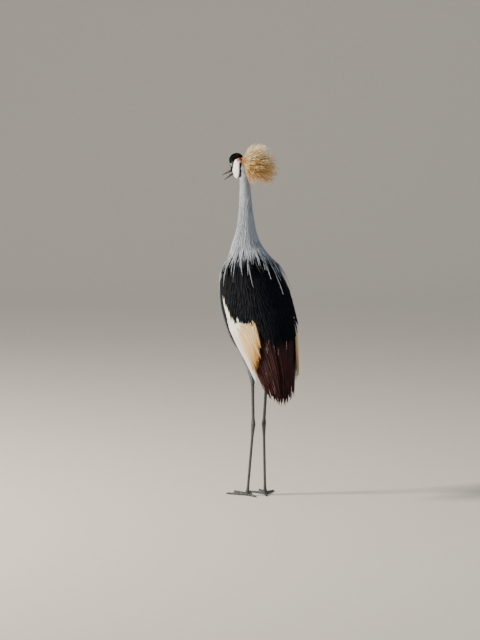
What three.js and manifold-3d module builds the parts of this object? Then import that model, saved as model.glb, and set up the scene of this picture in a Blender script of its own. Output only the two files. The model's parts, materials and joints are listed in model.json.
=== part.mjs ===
// A grey crowned crane, standing at rest with its head turned to its left, at life size.
// Millimetres, +Z up. The bird faces +Y and its right side is +X. The origin is on the floor, under the
// middle of the bird's outline, and it stands on the flats under its toes.
//
// One midline runs from the top of the neck down the back to the tips of the folded wings. A place on the
// bird is a station (mm along that line), an angle round it (0 at the back, + to the bird's right, 180 at
// the breast) and a height above the skin. Feathers are vanes that follow such places.
import * as THREE from "three";
import { mergeVertices } from "three/addons/utils/BufferGeometryUtils.js";
import Module from "manifold-3d";

const wasm = await Module();
wasm.setup();

// Sizes of the whole bird
const GAP = 0.4; // between two pieces that touch
const OUTLINE_CENTRE = [5.8, 6.8]; // the outline's middle, x and y, from the point between the feet
const MIDLINE = [
  [110, 961],
  [107, 905],
  [102, 850],
  [99, 795],
  [100, 745],
  [88, 697],
  [58, 640],
  [20, 580],
  [-24, 522],
  [-68, 470],
  [-104, 425],
  [-137, 377],
  [-163, 323],
  [-180, 266],
]; // y and z, from the neck's top to the wing tips
// How far the midline strays to the bird's right, at stations along it
const SWAY = through([0, 0], [150, 0], [266, 4], [486, 6], [778, 11]);

// Stations along the midline
const NECK_JOINT = 76;
const NECK_BASE = 150;
const SHOULDER = 216;
const WRIST = 262;
const WING_REAR = 486;
const RUMP = 616;

// The skin's half width, and its depth to the back and to the breast, at stations along the midline
const SKIN = {
  width: through(
    ...[[0, 16.5], [56, 17.5], [111, 21], [166, 28], [216, 44], [266, 64], [330, 82]],
    ...[[401, 90], [474, 88], [542, 72], [600, 36], [612, 22], [620, 10]],
  ),
  back: through(
    ...[[0, 16.5], [56, 17.5], [111, 21], [166, 27], [216, 38], [266, 50], [330, 58]],
    ...[[401, 62], [474, 57], [542, 42], [600, 22], [612, 15], [620, 7]],
  ),
  belly: through(
    ...[[0, 17], [56, 18.5], [111, 22], [166, 30], [216, 43], [266, 64], [330, 86]],
    ...[[401, 94], [474, 84], [542, 60], [600, 30], [612, 19], [620, 8]],
  ),
};
// The same for the surface that the wings and tail feathers lie on, which runs on past the rump
const COAT = {
  width: through(
    ...[[0, 16.5], [56, 17.5], [111, 21], [166, 28], [216, 44], [266, 64], [330, 82]],
    ...[[401, 90], [474, 89], [542, 79], [600, 64], [659, 49], [718, 36], [778, 22]],
  ),
  back: through(
    ...[[0, 16.5], [56, 17.5], [111, 21], [166, 27], [216, 38], [266, 50], [330, 58]],
    ...[[401, 62], [474, 58], [542, 48], [600, 36], [659, 27], [718, 20], [778, 12]],
  ),
  belly: through(
    ...[[0, 17], [56, 18.5], [111, 22], [166, 30], [216, 43], [266, 64], [330, 86]],
    ...[[401, 94], [474, 85], [542, 66], [600, 46], [659, 34], [718, 26], [778, 16]],
  ),
};

// The head: its place, and how far it turns to the left and bows
const HEAD_AT = [-11.4, 138.2, 994];
const HEAD_TURN = 22;
const HEAD_BOW = 17;
const EYE = { at: [11.6, 15, 0], radius: 7 };
const LID = { out: 4.4, radius: 6, thick: 1.2 }; // out: how far from the eye's centre
const GAPE = { at: [22, -16.2], open: 14 }; // y and z of the corner of the mouth, and degrees
const MOUTH = { half: 14, back: 6, front: 10, open: 2.6 };

// Materials
const PLUMAGE_ROUGHNESS = 0.85;
const horn = (color, roughness) => new THREE.MeshStandardMaterial({ color, roughness, metalness: 0 });
const plumage = (color) => horn(color, PLUMAGE_ROUGHNESS);
const NECK_GREY = plumage("#a9b3bf");
const BODY_GREY = plumage("#7d858e");
const SLATE = plumage("#15181f");
const WHITE = plumage("#f1efe9");
const GOLD = plumage("#dfc07c");
const CHESTNUT = plumage("#3d1716");
const BLACK = plumage("#101013");
const STRAW = plumage("#c9a25a");
const BARE_WHITE = horn("#f4efec", 0.5);
const WATTLE_RED = horn("#b3171c", 0.45);
const BILL_BLACK = horn("#26262a", 0.35);
const LEG_BLACK = horn("#25272b", 0.55);
const EYE_PALE = horn("#c9d3d6", 0.08);

// A smooth function through [at, value] pairs that never overshoots them
function through(...pairs) {
  const last = pairs.length - 1;
  const slope = pairs.slice(1).map(([x, y], i) => (y - pairs[i][1]) / (x - pairs[i][0]));
  const tangent = pairs.map((_, i) => {
    if (i === 0) return slope[0];
    if (i === last) return slope[last - 1];
    return slope[i - 1] * slope[i] <= 0 ? 0 : 2 / (1 / slope[i - 1] + 1 / slope[i]);
  });
  return (at) => {
    if (at <= pairs[0][0]) return pairs[0][1];
    if (at >= pairs[last][0]) return pairs[last][1];
    const i = pairs.findIndex(([x]) => x > at) - 1;
    const span = pairs[i + 1][0] - pairs[i][0];
    const t = (at - pairs[i][0]) / span;
    const rise = t * t * (3 - 2 * t);
    const bend = t * (1 - t) ** 2 * tangent[i] - t * t * (1 - t) * tangent[i + 1];
    return pairs[i][1] * (1 - rise) + pairs[i + 1][1] * rise + span * bend;
  };
}

const vec = (x, y, z) => new THREE.Vector3(x, y, z);
const mix = THREE.MathUtils.lerp;
const step = (low, high, x) => THREE.MathUtils.smoothstep(x, low, high);
const turn = THREE.MathUtils.degToRad;
const steps = (from, to, count) => Array.from({ length: count + 1 }, (_, i) => mix(from, to, i / count));

// A seeded share either way, so that like feathers differ a little
THREE.MathUtils.seededRandom(816);
const vary = (share) => share * (2 * THREE.MathUtils.seededRandom() - 1);

// Places on the bird
const midline = new THREE.CatmullRomCurve3(MIDLINE.map(([y, z]) => vec(0, y, z)), false, "centripetal");
midline.arcLengthDivisions = 2000;
const MIDLINE_LENGTH = midline.getLength();

function frameAt(station) {
  const share = Math.min(1, Math.max(0, station / MIDLINE_LENGTH));
  const along = midline.getTangentAt(share);
  const centre = midline.getPointAt(share).setX(SWAY(station));
  return { centre, along, back: vec(0, along.z, -along.y) };
}

function place(station, angle, height, sizes = COAT) {
  const { centre, back } = frameAt(station);
  const lift = Math.cos(turn(angle));
  const depth = (lift >= 0 ? sizes.back(station) : sizes.belly(station)) + height;
  const aside = (sizes.width(station) + height) * Math.sin(turn(angle));
  return centre.addScaledVector(back, depth * lift).add(vec(aside, 0, 0));
}

// Closed bodies
function solid(geometry, matrix = new THREE.Matrix4()) {
  const bare = new THREE.BufferGeometry().setAttribute("position", geometry.getAttribute("position").clone());
  bare.setIndex(geometry.getIndex());
  const merged = mergeVertices(bare.applyMatrix4(matrix), 1e-3);
  const corners = [];
  for (let i = 0; i < merged.index.count; i += 3) {
    const face = [0, 1, 2].map((k) => merged.index.getX(i + k));
    if (new Set(face).size === 3) corners.push(...face);
  }
  const vertProperties = new Float32Array(merged.attributes.position.array);
  return new wasm.Manifold(new wasm.Mesh({ numProp: 3, vertProperties, triVerts: new Uint32Array(corners) }));
}

// A closed body from points and faces, turned to face out
function shell(points, faces) {
  const volume = faces.reduce((sum, [a, b, c]) => sum + points[a].dot(points[b].clone().cross(points[c])), 0);
  const geometry = new THREE.BufferGeometry().setFromPoints(points);
  geometry.setIndex(faces.flatMap(([a, b, c]) => (volume < 0 ? [a, c, b] : [a, b, c])));
  return solid(geometry);
}

// Rings of points joined one to the next, with a fan over each end, or one face where a ring has three points
function loft(rings) {
  const count = rings[0].length;
  const points = rings.flat();
  const faces = [];
  for (let ring = 0; ring + 1 < rings.length; ring++)
    for (let i = 0; i < count; i++) {
      const a = ring * count + i;
      const b = ring * count + ((i + 1) % count);
      faces.push([a, b, b + count], [a, b + count, a + count]);
    }
  for (const [ring, flip] of [[0, false], [rings.length - 1, true]]) {
    if (count === 3) {
      const a = ring * count;
      faces.push(flip ? [a, a + 1, a + 2] : [a + 1, a, a + 2]);
      continue;
    }
    const centre = rings[ring].reduce((sum, p) => sum.add(p), vec(0, 0, 0)).divideScalar(count);
    const middle = points.push(centre) - 1;
    for (let i = 0; i < count; i++) {
      const a = ring * count + i;
      const b = ring * count + ((i + 1) % count);
      faces.push(flip ? [a, b, middle] : [b, a, middle]);
    }
  }
  return shell(points, faces);
}

// Two matching grids of points, split alike and walled round their edge
function slab(top, bottom) {
  const rows = top.length;
  const columns = top[0].length;
  const under = rows * columns;
  const at = (i, j) => i * columns + j;
  const faces = [];
  for (let i = 0; i + 1 < rows; i++)
    for (let j = 0; j + 1 < columns; j++) {
      const [a, b, c, d] = [at(i, j), at(i, j + 1), at(i + 1, j + 1), at(i + 1, j)];
      faces.push([a, b, c], [a, c, d]);
      faces.push([under + a, under + c, under + b], [under + a, under + d, under + c]);
    }
  const loop = [];
  for (let j = 0; j < columns; j++) loop.push(at(0, j));
  for (let i = 1; i < rows; i++) loop.push(at(i, columns - 1));
  for (let j = columns - 2; j >= 0; j--) loop.push(at(rows - 1, j));
  for (let i = rows - 2; i > 0; i--) loop.push(at(i, 0));
  loop.forEach((p, i) => {
    const q = loop[(i + 1) % loop.length];
    faces.push([p, p + under, q + under], [p, q + under, q]);
  });
  return shell([...top.flat(), ...bottom.flat()], faces);
}

function oval(centre, side, up, halfWidth, rise, drop, count) {
  return Array.from({ length: count }, (_, i) => {
    const angle = (2 * Math.PI * i) / count;
    const lift = Math.cos(angle);
    const point = centre.clone().addScaledVector(side, halfWidth * Math.sin(angle));
    return point.addScaledVector(up, (lift >= 0 ? rise : drop) * lift);
  });
}

// An ellipsoid, tilted about X and then swung about Z, in degrees
function ball(centre, radii, [around, high] = [16, 10], tilt = 0, swing = 0) {
  const turned = new THREE.Euler(turn(tilt), 0, turn(swing), "ZXY");
  const matrix = new THREE.Matrix4().makeRotationFromEuler(turned).scale(vec(...radii));
  return solid(new THREE.SphereGeometry(1, around, high), matrix.setPosition(...centre));
}

// A thin piece that lies on the coat between two stations and two angles
function plate({ stations, angles, inner, outer, sizes }) {
  const face = (height) => stations.map((s) => angles.map((a) => place(s, a, height(s, a), sizes)));
  return slab(face(outer), face(inner));
}

// A feather's outline, as the share of its full width along its length
const LANCE = through([0, 0.5], [0.3, 1], [0.7, 0.72], [1, 0.1]);
const BLADE = through([0, 0.6], [0.3, 1], [0.75, 0.95], [0.93, 0.62], [1, 0.25]);

// A flat feather that runs over the coat from one station and angle to another, and bends only at the folds,
// which are stations that it shares with its neighbours. Its span is its full width in degrees, its height is
// above the coat, and its slant lifts the edge at the greater angle, per degree
function vane({ from, to, folds, span, shape, height, thick = 0.9, slant = 0 }) {
  const bends = folds.filter((fold) => fold > from[0] + 4 && fold < to[0] - 8);
  const face = (side) =>
    [from[0], ...bends, to[0]].map((station) => {
      const t = (station - from[0]) / (to[0] - from[0]);
      const angle = mix(from[1], to[1], t);
      const half = (span * shape(t)) / 2;
      return [-half, half].map((edge) => {
        const lift = height(station, angle + edge) + slant * edge + (side * thick) / 2;
        return place(station, angle + edge, lift);
      });
    });
  return slab(face(1), face(-1));
}

const union = (pieces) => wasm.Manifold.union(pieces);

// The largest closed surface of a piece, without any hollow that joining sealed
function whole(piece) {
  return piece.decompose().reduce((best, part) => (part.volume() > best.volume() ? part : best));
}

const crane = new THREE.Group();

function add(name, piece, material, group = crane) {
  const made = whole(piece).getMesh();
  const points = new Float32Array(made.numVert * 3);
  for (let i = 0; i < made.numVert; i++)
    points.set(made.vertProperties.subarray(i * made.numProp, i * made.numProp + 3), i * 3);
  const geometry = new THREE.BufferGeometry().setAttribute("position", new THREE.BufferAttribute(points, 3));
  geometry.setIndex(new THREE.BufferAttribute(made.triVerts, 1));
  geometry.computeVertexNormals();
  const mesh = new THREE.Mesh(geometry, material);
  mesh.name = name;
  group.add(mesh);
}

// Torso
const TORSO_STATIONS = [SHOULDER, 230, 246, 286, 326, 366, 406, 446, 486, 522, 554, 582, 602, RUMP];
const ROUND = steps(-180, 162, 19);
const tube = (stations, angles, grow) =>
  loft(stations.map((s) => angles.map((a) => place(s, a, grow, SKIN))));
const torsoSkin = (grow) => tube(TORSO_STATIONS, ROUND, grow);
add("torso", torsoSkin(0), BODY_GREY);

// Neck, in three lengths
const NECK_ROUND = steps(-180, 180 - 360 / 14, 13);
add("neck_upper", tube(steps(GAP, NECK_JOINT - GAP, 5), NECK_ROUND, 0), NECK_GREY);
add("neck_lower", tube(steps(NECK_JOINT, NECK_BASE - GAP, 5), NECK_ROUND, 0), NECK_GREY);

// Heights above the coat of what lies under the back feathers, and of the top of those feathers
const MANTLE_TOP = 4.6;
const WING_TOP = 15;
const REAR_TOP = 10.8;
const SKIN_CLEAR = 0.8;
const CAPE_CLEAR = 1.5;
const CAPE_RISE = 0.05;
const CAPE_FRONT = SHOULDER + 30;
const CAPE_STEP = 40;
const CAPE_FOLDS = [SHOULDER, ...steps(CAPE_FRONT, CAPE_FRONT + 9 * CAPE_STEP, 9)];
const ramp = (low, high, x) => Math.min(1, Math.max(0, (x - low) / (high - low)));
function under(station, angle) {
  const side = Math.abs(angle);
  const mantle = MANTLE_TOP * ramp(SHOULDER, CAPE_FRONT, station) * (1 - ramp(60, 70, side));
  const folded = ramp(42, 70, side) * (1 - ramp(107, 122, side));
  const wing = WING_TOP * ramp(CAPE_FRONT, CAPE_FRONT + CAPE_STEP, station) * folded;
  return Math.max(mantle, wing, REAR_TOP * ramp(WING_REAR - CAPE_STEP, WING_REAR, station));
}
function capeTop(station, angle) {
  const rise = CAPE_RISE * Math.max(0, station - CAPE_FRONT);
  const stack = (CAPE_CLEAR + 1) * ramp(SHOULDER, CAPE_FRONT, station) + rise;
  return under(station, angle) + stack * (1 - ramp(82, 94, Math.abs(angle)));
}

// The base of the neck, with lance-shaped feathers in three tiers that spread over the shoulders
const HACKLES = 12;
const HACKLE_RISE = 0.065;
const hackles = [];
[152, 171, 190].forEach((root, tier) => {
  for (let i = 0; i < HACKLES; i++) {
    const angle = ((i + tier / 3 + vary(0.1)) * 360) / HACKLES - 180;
    const length = mix(112, 128, ramp(90, 150, Math.abs(angle))) * (1 + vary(0.1));
    hackles.push(
      vane({
        from: [root, angle],
        to: [root + length, angle],
        folds: CAPE_FOLDS,
        span: 18,
        shape: LANCE,
        thick: 0.8,
        height: (s, a) => (s > root ? capeTop(s, a) + 1 + HACKLE_RISE * (s - root) : -2.5),
      }),
    );
  }
});
const neckRing = tube(steps(NECK_BASE, SHOULDER - GAP, 3), ROUND, 0);
add("neck_base", union([neckRing, ...hackles]), NECK_GREY);

// The cape: the long dark feathers of the back and shoulders, in tiers that spread over the wings
const CAPE_TIERS = [
  { spread: 1.8, length: 124, shorten: [0, 0] },
  { spread: 1.85, length: 126, shorten: [0, 0] },
  { spread: 1.85, length: 130, shorten: [0, 0] },
  { spread: 1.72, length: 134, shorten: [12, 0] },
  { spread: 1.5, length: 142, shorten: [50, 10] },
  { spread: 1.18, length: 152, shorten: [78, 36] },
];
const CAPE_HALF = 42;
const CAPE_SUNK = 3;
const cape = [
  plate({
    stations: [232, ...steps(CAPE_FRONT, WING_REAR, 6)],
    angles: steps(-46, 46, 6),
    inner: () => SKIN_CLEAR,
    outer: under,
  }),
];
CAPE_TIERS.forEach(({ spread, length, shorten }, tier) => {
  const root = CAPE_FRONT + tier * CAPE_STEP;
  const count = 8 - (tier % 2);
  const apart = (2 * CAPE_HALF) / 7;
  const widest = mix(1, spread, 0.7);
  for (let i = 0; i < count; i++) {
    const angle = (i - (count - 1) / 2) * apart;
    const outer = Math.pow(Math.abs(angle) / CAPE_HALF, 1.3);
    const reach = (length - outer * shorten[angle < 0 ? 0 : 1]) * (1 + vary(0.05));
    cape.push(
      vane({
        from: [root, angle],
        to: [root + reach, angle * spread],
        folds: CAPE_FOLDS,
        span: apart * widest * 0.94,
        shape: (t) => BLADE(t) * Math.min(1, mix(1, spread, t) / widest),
        height: (s, a) => under(s, a) + CAPE_CLEAR + (s > root ? CAPE_RISE * (s - root) : -CAPE_SUNK),
      }),
    );
  }
});
add("mantle", union(cape), SLATE);

// The wings, folded: white coverts, hanging golden plumes, chestnut secondaries in two tiers, and primaries
const COVERT_TOP = 9;
const COVERT_EDGE = 3.4;
const COVERT_ROW = 50;
const SECONDARY_LAP = (angle) => 5.2 * step(58, 74, Math.abs(angle));
const SECONDARY_TOP = 9.8;
const PLUME_FOOT = 10.8;
const PLUME_THICK = 2.6;
const PLUME_LIFT = 11;
const WING_FOLDS = [WING_REAR + 74, 640, 710];
for (const [side, name] of [[-1, "left"], [1, "right"]]) {
  const fan = (from, to, count) => steps(side * from, side * to, count);

  const covertTop = (s, a) =>
    mix(COVERT_EDGE, COVERT_TOP, step(WRIST, WRIST + 40, s) * step(50, 66, Math.abs(a)));
  const coverts = [
    plate({
      stations: [WRIST, 286, ...steps(326, WING_REAR, 4)],
      angles: fan(52, 106, 4),
      inner: () => SKIN_CLEAR,
      outer: covertTop,
    }),
  ];
  steps(300, 300 + 3 * COVERT_ROW, 3).forEach((root, tier) => {
    for (let i = 0; i < 4 - (tier % 2); i++) {
      const angle = 74 + 9.2 * (i + (tier % 2) / 2);
      coverts.push(
        vane({
          from: [root, side * angle],
          to: [root + 76 + vary(4), side * mix(angle, 88, 0.1)],
          folds: [350, 400, 450, WING_REAR],
          span: 8.6,
          shape: BLADE,
          height: (s) =>
            mix(COVERT_TOP, PLUME_FOOT + PLUME_THICK, ramp(450, WING_REAR, s)) +
            (s > root ? 0.9 + 0.045 * (s - root) : -1.5),
        }),
      );
    }
  });
  add(`wing_coverts_${name}`, union(coverts), WHITE);

  const plumes = [
    plate({
      stations: [WING_REAR + GAP, WING_REAR + 26],
      angles: fan(66, 106, 3),
      inner: () => PLUME_FOOT,
      outer: () => PLUME_FOOT + PLUME_THICK,
    }),
  ];
  for (let i = 0; i < 10; i++) {
    const angle = 69 + 3.8 * i;
    const reach = 622 + 58 * Math.sin((Math.PI * (i + 0.5)) / 10) + vary(8);
    plumes.push(
      vane({
        from: [WING_REAR + 10, side * angle],
        to: [reach, side * mix(angle, 84, 0.1)],
        folds: [WING_REAR + 54, 600, 650],
        span: 6.7,
        shape: BLADE,
        height: (s) => PLUME_FOOT + (i % 2 ? 2 : 0.7) + PLUME_LIFT * ramp(WING_REAR + 54, 720, s),
      }),
    );
  }
  add(`wing_plumes_${name}`, union(plumes), GOLD);

  const secondaries = [
    plate({
      stations: [WING_REAR + GAP, WING_REAR + 30],
      angles: [...fan(4, 58, 3), ...fan(74, 98, 2)],
      inner: (s, a) => SKIN_CLEAR + SECONDARY_LAP(a),
      outer: () => SECONDARY_TOP,
    }),
  ];
  for (const { count, first, last, reach, foot } of [
    { count: 8, first: 9, last: 91, reach: 752, foot: 3 },
    { count: 5, first: 10, last: 56, reach: 690, foot: 8.2 },
  ])
    for (let i = 0; i < count; i++) {
      const angle = mix(first, last, i / (count - 1));
      secondaries.push(
        vane({
          from: [WING_REAR + 12, side * angle],
          to: [reach - 45 * Math.pow(i / (count - 1), 1.5) + vary(7), side * angle * 0.95],
          folds: WING_FOLDS,
          span: 13.4,
          shape: BLADE,
          slant: side * 0.11,
          height: (s, a) => foot + (foot < 5 ? SECONDARY_LAP(a) : 0),
        }),
      );
    }
  add(`wing_secondaries_${name}`, union(secondaries), CHESTNUT);

  const primaries = [
    plate({
      stations: [WING_REAR + GAP, WING_REAR + 30],
      angles: fan(76, 106, 2),
      inner: () => SKIN_CLEAR,
      outer: () => 4.6,
    }),
  ];
  for (let i = 0; i < 4; i++)
    primaries.push(
      vane({
        from: [WING_REAR + 12, side * (81 + 6.6 * i)],
        to: [730 - 24 * i + vary(5), side * (79 + 6 * i)],
        folds: WING_FOLDS,
        span: 8.6,
        shape: BLADE,
        slant: side * 0.17,
        height: () => 2.7,
      }),
    );
  add(`wing_primaries_${name}`, union(primaries), BLACK);
}

// The tail, under the wing tips
const tailRing = (s, spread, lift) =>
  oval(frameAt(s).centre, vec(1, 0, 0), frameAt(s).back, spread, lift, 8, 12);
const tail = [loft([tailRing(RUMP + GAP + 0.3, 21, 13), tailRing(628, 26, 16), tailRing(642, 24, 15)])];
for (let i = 0; i < 8; i++) {
  const angle = 18 * (i - 3.5);
  tail.push(
    vane({
      from: [628, angle],
      to: [744 - 0.25 * Math.abs(angle) + vary(4), angle],
      folds: [660, 715],
      span: 23,
      shape: BLADE,
      height: (s) => (s > 628 ? (i % 2 ? -4.6 : -7) : -20),
    }),
  );
}
add("tail", union(tail), BLACK);

// Head
const head = new THREE.Group();
head.position.set(...HEAD_AT);
head.rotation.set(turn(-HEAD_BOW), 0, turn(HEAD_TURN), "ZXY");
head.updateMatrixWorld(true);
crane.add(head);

// Ovals from the foot of the bill to the crown, and then round the nape, in the head's own millimetres
const ACROSS = vec(1, 0, 0);
const UPRIGHT = vec(0, 0, 1);
const FACE = [
  { y: 29, z: -14.5, side: 7.5, up: 8, down: 8.5 },
  { y: 24, z: -11, side: 12, up: 15, down: 14 },
  { y: 16, z: -6, side: 16.5, up: 22, down: 22 },
  { y: 8, z: -3, side: 19, up: 24, down: 29 },
];
const PIVOT = [2, -36]; // y and z of the point that the back of the head bends round
const BEND = [
  { at: 90, from: 38, side: 20, outer: 19, inner: 33 },
  { at: 65, from: 33, side: 20.2, outer: 20, inner: 29 },
  { at: 40, from: 28, side: 19.2, outer: 19, inner: 24 },
  { at: 15, from: 24, side: 17.8, outer: 17.5, inner: 20 },
];
const HEAD_ROUND = 18;
const spoke = (angle) => vec(0, -Math.cos(turn(angle)), Math.sin(turn(angle)));
function headSkin(grow) {
  const face = FACE.map(({ y, z, side, up, down }, i) =>
    oval(vec(0, y + (i ? 0 : grow), z), ACROSS, UPRIGHT, side + grow, up + grow, down + grow, HEAD_ROUND),
  );
  const bend = BEND.map(({ at, from, side, outer, inner }) => {
    const middle = vec(0, ...PIVOT).addScaledVector(spoke(at), from);
    return oval(middle, ACROSS, spoke(at), side + grow, outer + grow, inner + grow, HEAD_ROUND);
  });
  const { centre, back } = frameAt(0);
  const middle = head.worldToLocal(centre.clone());
  const lift = head.worldToLocal(centre.clone().add(back)).sub(middle);
  const across = head.worldToLocal(centre.clone().add(ACROSS)).sub(middle);
  const [width, rise, drop] = [SKIN.width, SKIN.back, SKIN.belly].map((size) => size(0) + grow);
  return loft([...face, ...bend, oval(middle, across, lift, width, rise, drop, HEAD_ROUND)]);
}
const skull = headSkin(0);
const skullClear = headSkin(GAP);

// Eyes, each in a socket with a lid round it
const sockets = [];
const lids = [];
const lidRoom = [];
for (const side of [-1, 1]) {
  const [x, y, z] = EYE.at;
  const { radius } = EYE;
  sockets.push(ball([side * x, y, z], Array(3).fill(radius + GAP), [12, 8]));
  lidRoom.push(ball([side * (x + LID.out), y, z], Array(3).fill(LID.radius + 2), [12, 6]));
  const rim = new THREE.Matrix4().makeRotationY(Math.PI / 2).setPosition(side * (x + LID.out), y, z);
  lids.push(solid(new THREE.TorusGeometry(LID.radius, LID.thick, 5, 12), rim));
  const eye = ball([side * x, y, z], Array(3).fill(radius), [12, 7]);
  add(`eye_${side < 0 ? "left" : "right"}`, eye, EYE_PALE, head);
}
const lidClear = union(lidRoom);

// The line of the mouth, a wedge that runs back from between the halves of the bill
const [gapeY, gapeZ] = GAPE.at;
const mouth = loft(
  [-1, 1].map((side) => [
    vec(side * MOUTH.half, gapeY - MOUTH.back, gapeZ),
    vec(side * MOUTH.half, gapeY + MOUTH.front, gapeZ + 0.3),
    vec(side * MOUTH.half, gapeY + MOUTH.front, gapeZ - MOUTH.open),
  ]),
);
add("head", union([skull, ...lids]).subtract(union([...sockets, mouth])), BLACK, head);

const cushionShape = (grow) => ball([0, 5.5, 15], [17 + grow, 26 + grow, 19 + grow], [14, 8]);
const cushion = cushionShape(0).subtract(skullClear).subtract(lidClear);
add("forehead_cushion", cushion, SLATE, head);

// Bare cheeks, each with a small lobe at its upper rear, clear of the neck behind them
const toHead = head.matrixWorld.clone().invert();
const NECK_CLEAR = 1.5;
const neckTop = frameAt(0);
const neckRoom = loft(
  [-9, 40].map((far) => {
    const middle = neckTop.centre.clone().addScaledVector(neckTop.along, far);
    const [width, rise, drop] = [SKIN.width, SKIN.back, SKIN.belly].map((size) => size(40) + NECK_CLEAR);
    return oval(middle, ACROSS, neckTop.back, width, rise, drop, HEAD_ROUND);
  }),
).transform(toHead.elements);
for (const [side, name] of [[-1, "left"], [1, "right"]]) {
  const patch = ball([side * 15.6, -8, -17], [6.5, 14, 29], [12, 9], 20, side * 6);
  const lobe = ball([side * 14, -18, 5], [4.5, 8, 10], [8, 6], 20, side * -12);
  const bare = union([patch, lobe]).subtract(skullClear).subtract(cushionShape(GAP));
  add(`cheek_${name}`, bare.subtract(lidClear).subtract(neckRoom), BARE_WHITE, head);
}
const wattle = union([
  ball([0, 12, -30], [6, 7, 4.5], [8, 5]),
  ...[-1, 1].map((side) => ball([side * 2.6, 13, -34], [3.6, 4.6, 7], [7, 6], 17)),
]);
add("throat_wattle", wattle.subtract(skullClear), WATTLE_RED, head);

// Bill
const BILL_ROOT = 29;
const BILL_ROUND = 10;
const upperHalf = (y) => mix(6.6, 0.7, Math.pow(Math.max(0, y - BILL_ROOT) / 51, 0.75));
const culmen = through([29, -7], [45, -9], [60, -10.8], [74, -12.8], [80, -14.8]);
const upperEdge = through([29, -15.9], [60, -15.2], [74, -15.2], [80, -15.8]);
const lowerKeel = through([24, -22.4], [45, -20.6], [60, -18.8], [76, -17.2]);
const LOWER_TOP = -16.5;
const billRing = (y, halfWidth, top, bottom) => {
  const middle = (top + bottom) / 2;
  return oval(vec(0, y, middle), ACROSS, UPRIGHT, halfWidth, top - middle, middle - bottom, BILL_ROUND);
};
const nostrils = ball([0, 42, -12], [9, 5, 1.1], [8, 6]);
const upperRings = [BILL_ROOT + GAP, 36, 45, 54, 63, 72, 77, 80];
const upperBill = loft(upperRings.map((y) => billRing(y, upperHalf(y), culmen(y), upperEdge(y))));
add("bill_upper", upperBill.subtract(nostrils), BILL_BLACK, head);
const open = new THREE.Matrix4().makeTranslation(0, gapeY, gapeZ);
open.multiply(new THREE.Matrix4().makeRotationX(turn(-GAPE.open)));
open.multiply(new THREE.Matrix4().makeTranslation(0, -gapeY, -gapeZ));
const lowerBill = loft(
  [25, 36, 45, 54, 63, 71, 76].map((y) =>
    billRing(y, upperHalf(y + 3.5) * 0.88, LOWER_TOP, lowerKeel(y)).map((p) => p.applyMatrix4(open)),
  ),
);
add("bill_lower", lowerBill.subtract(skullClear), BILL_BLACK, head);

// Crest: a pad behind the crown, with a fan of bristles
const CREST = { at: [0, -29, -6], radii: [12, 9, 23], lean: -22 };
const BRISTLES = { count: 54, length: 97, low: -40, high: 15, spread: 41, droop: 5 };
const GOLDEN_RATIO = 0.618034;
const bristles = [];
const crestUp = vec(0, -Math.sin(turn(CREST.lean)), Math.cos(turn(CREST.lean)));
for (let i = 0; i < BRISTLES.count; i++) {
  const share = (i + 0.5) / BRISTLES.count;
  const swing = 2 * ((i * GOLDEN_RATIO) % 1) - 1;
  const rise = turn(mix(BRISTLES.low, BRISTLES.high, share) + vary(3));
  const aside = turn(BRISTLES.spread * swing + vary(3));
  const heading = vec(Math.sin(aside) * Math.cos(rise), -Math.cos(aside) * Math.cos(rise), Math.sin(rise));
  const root = vec(...CREST.at).addScaledVector(crestUp, CREST.radii[2] * 0.75 * (2 * share - 1));
  root.x += CREST.radii[0] * 0.6 * swing;
  const across = UPRIGHT.clone().cross(heading).normalize();
  const above = heading.clone().cross(across);
  const length = BRISTLES.length * (1 + vary(0.08)) - 8 * Math.abs(2 * share - 1);
  const rings = [[0, 0.65], [0.5, 1], [1, 0.35]].map(([t, radius]) => {
    const centre = root.clone().addScaledVector(heading, t * length);
    centre.z -= BRISTLES.droop * t * t;
    return oval(centre, across, above, 1.6 * radius, radius, radius, 3);
  });
  bristles.push(loft(rings));
}
const crestPad = ball(CREST.at, CREST.radii, [12, 8], CREST.lean);
add("crest", union([crestPad, ...bristles]).subtract(skullClear).subtract(cushionShape(GAP)), STRAW, head);

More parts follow.
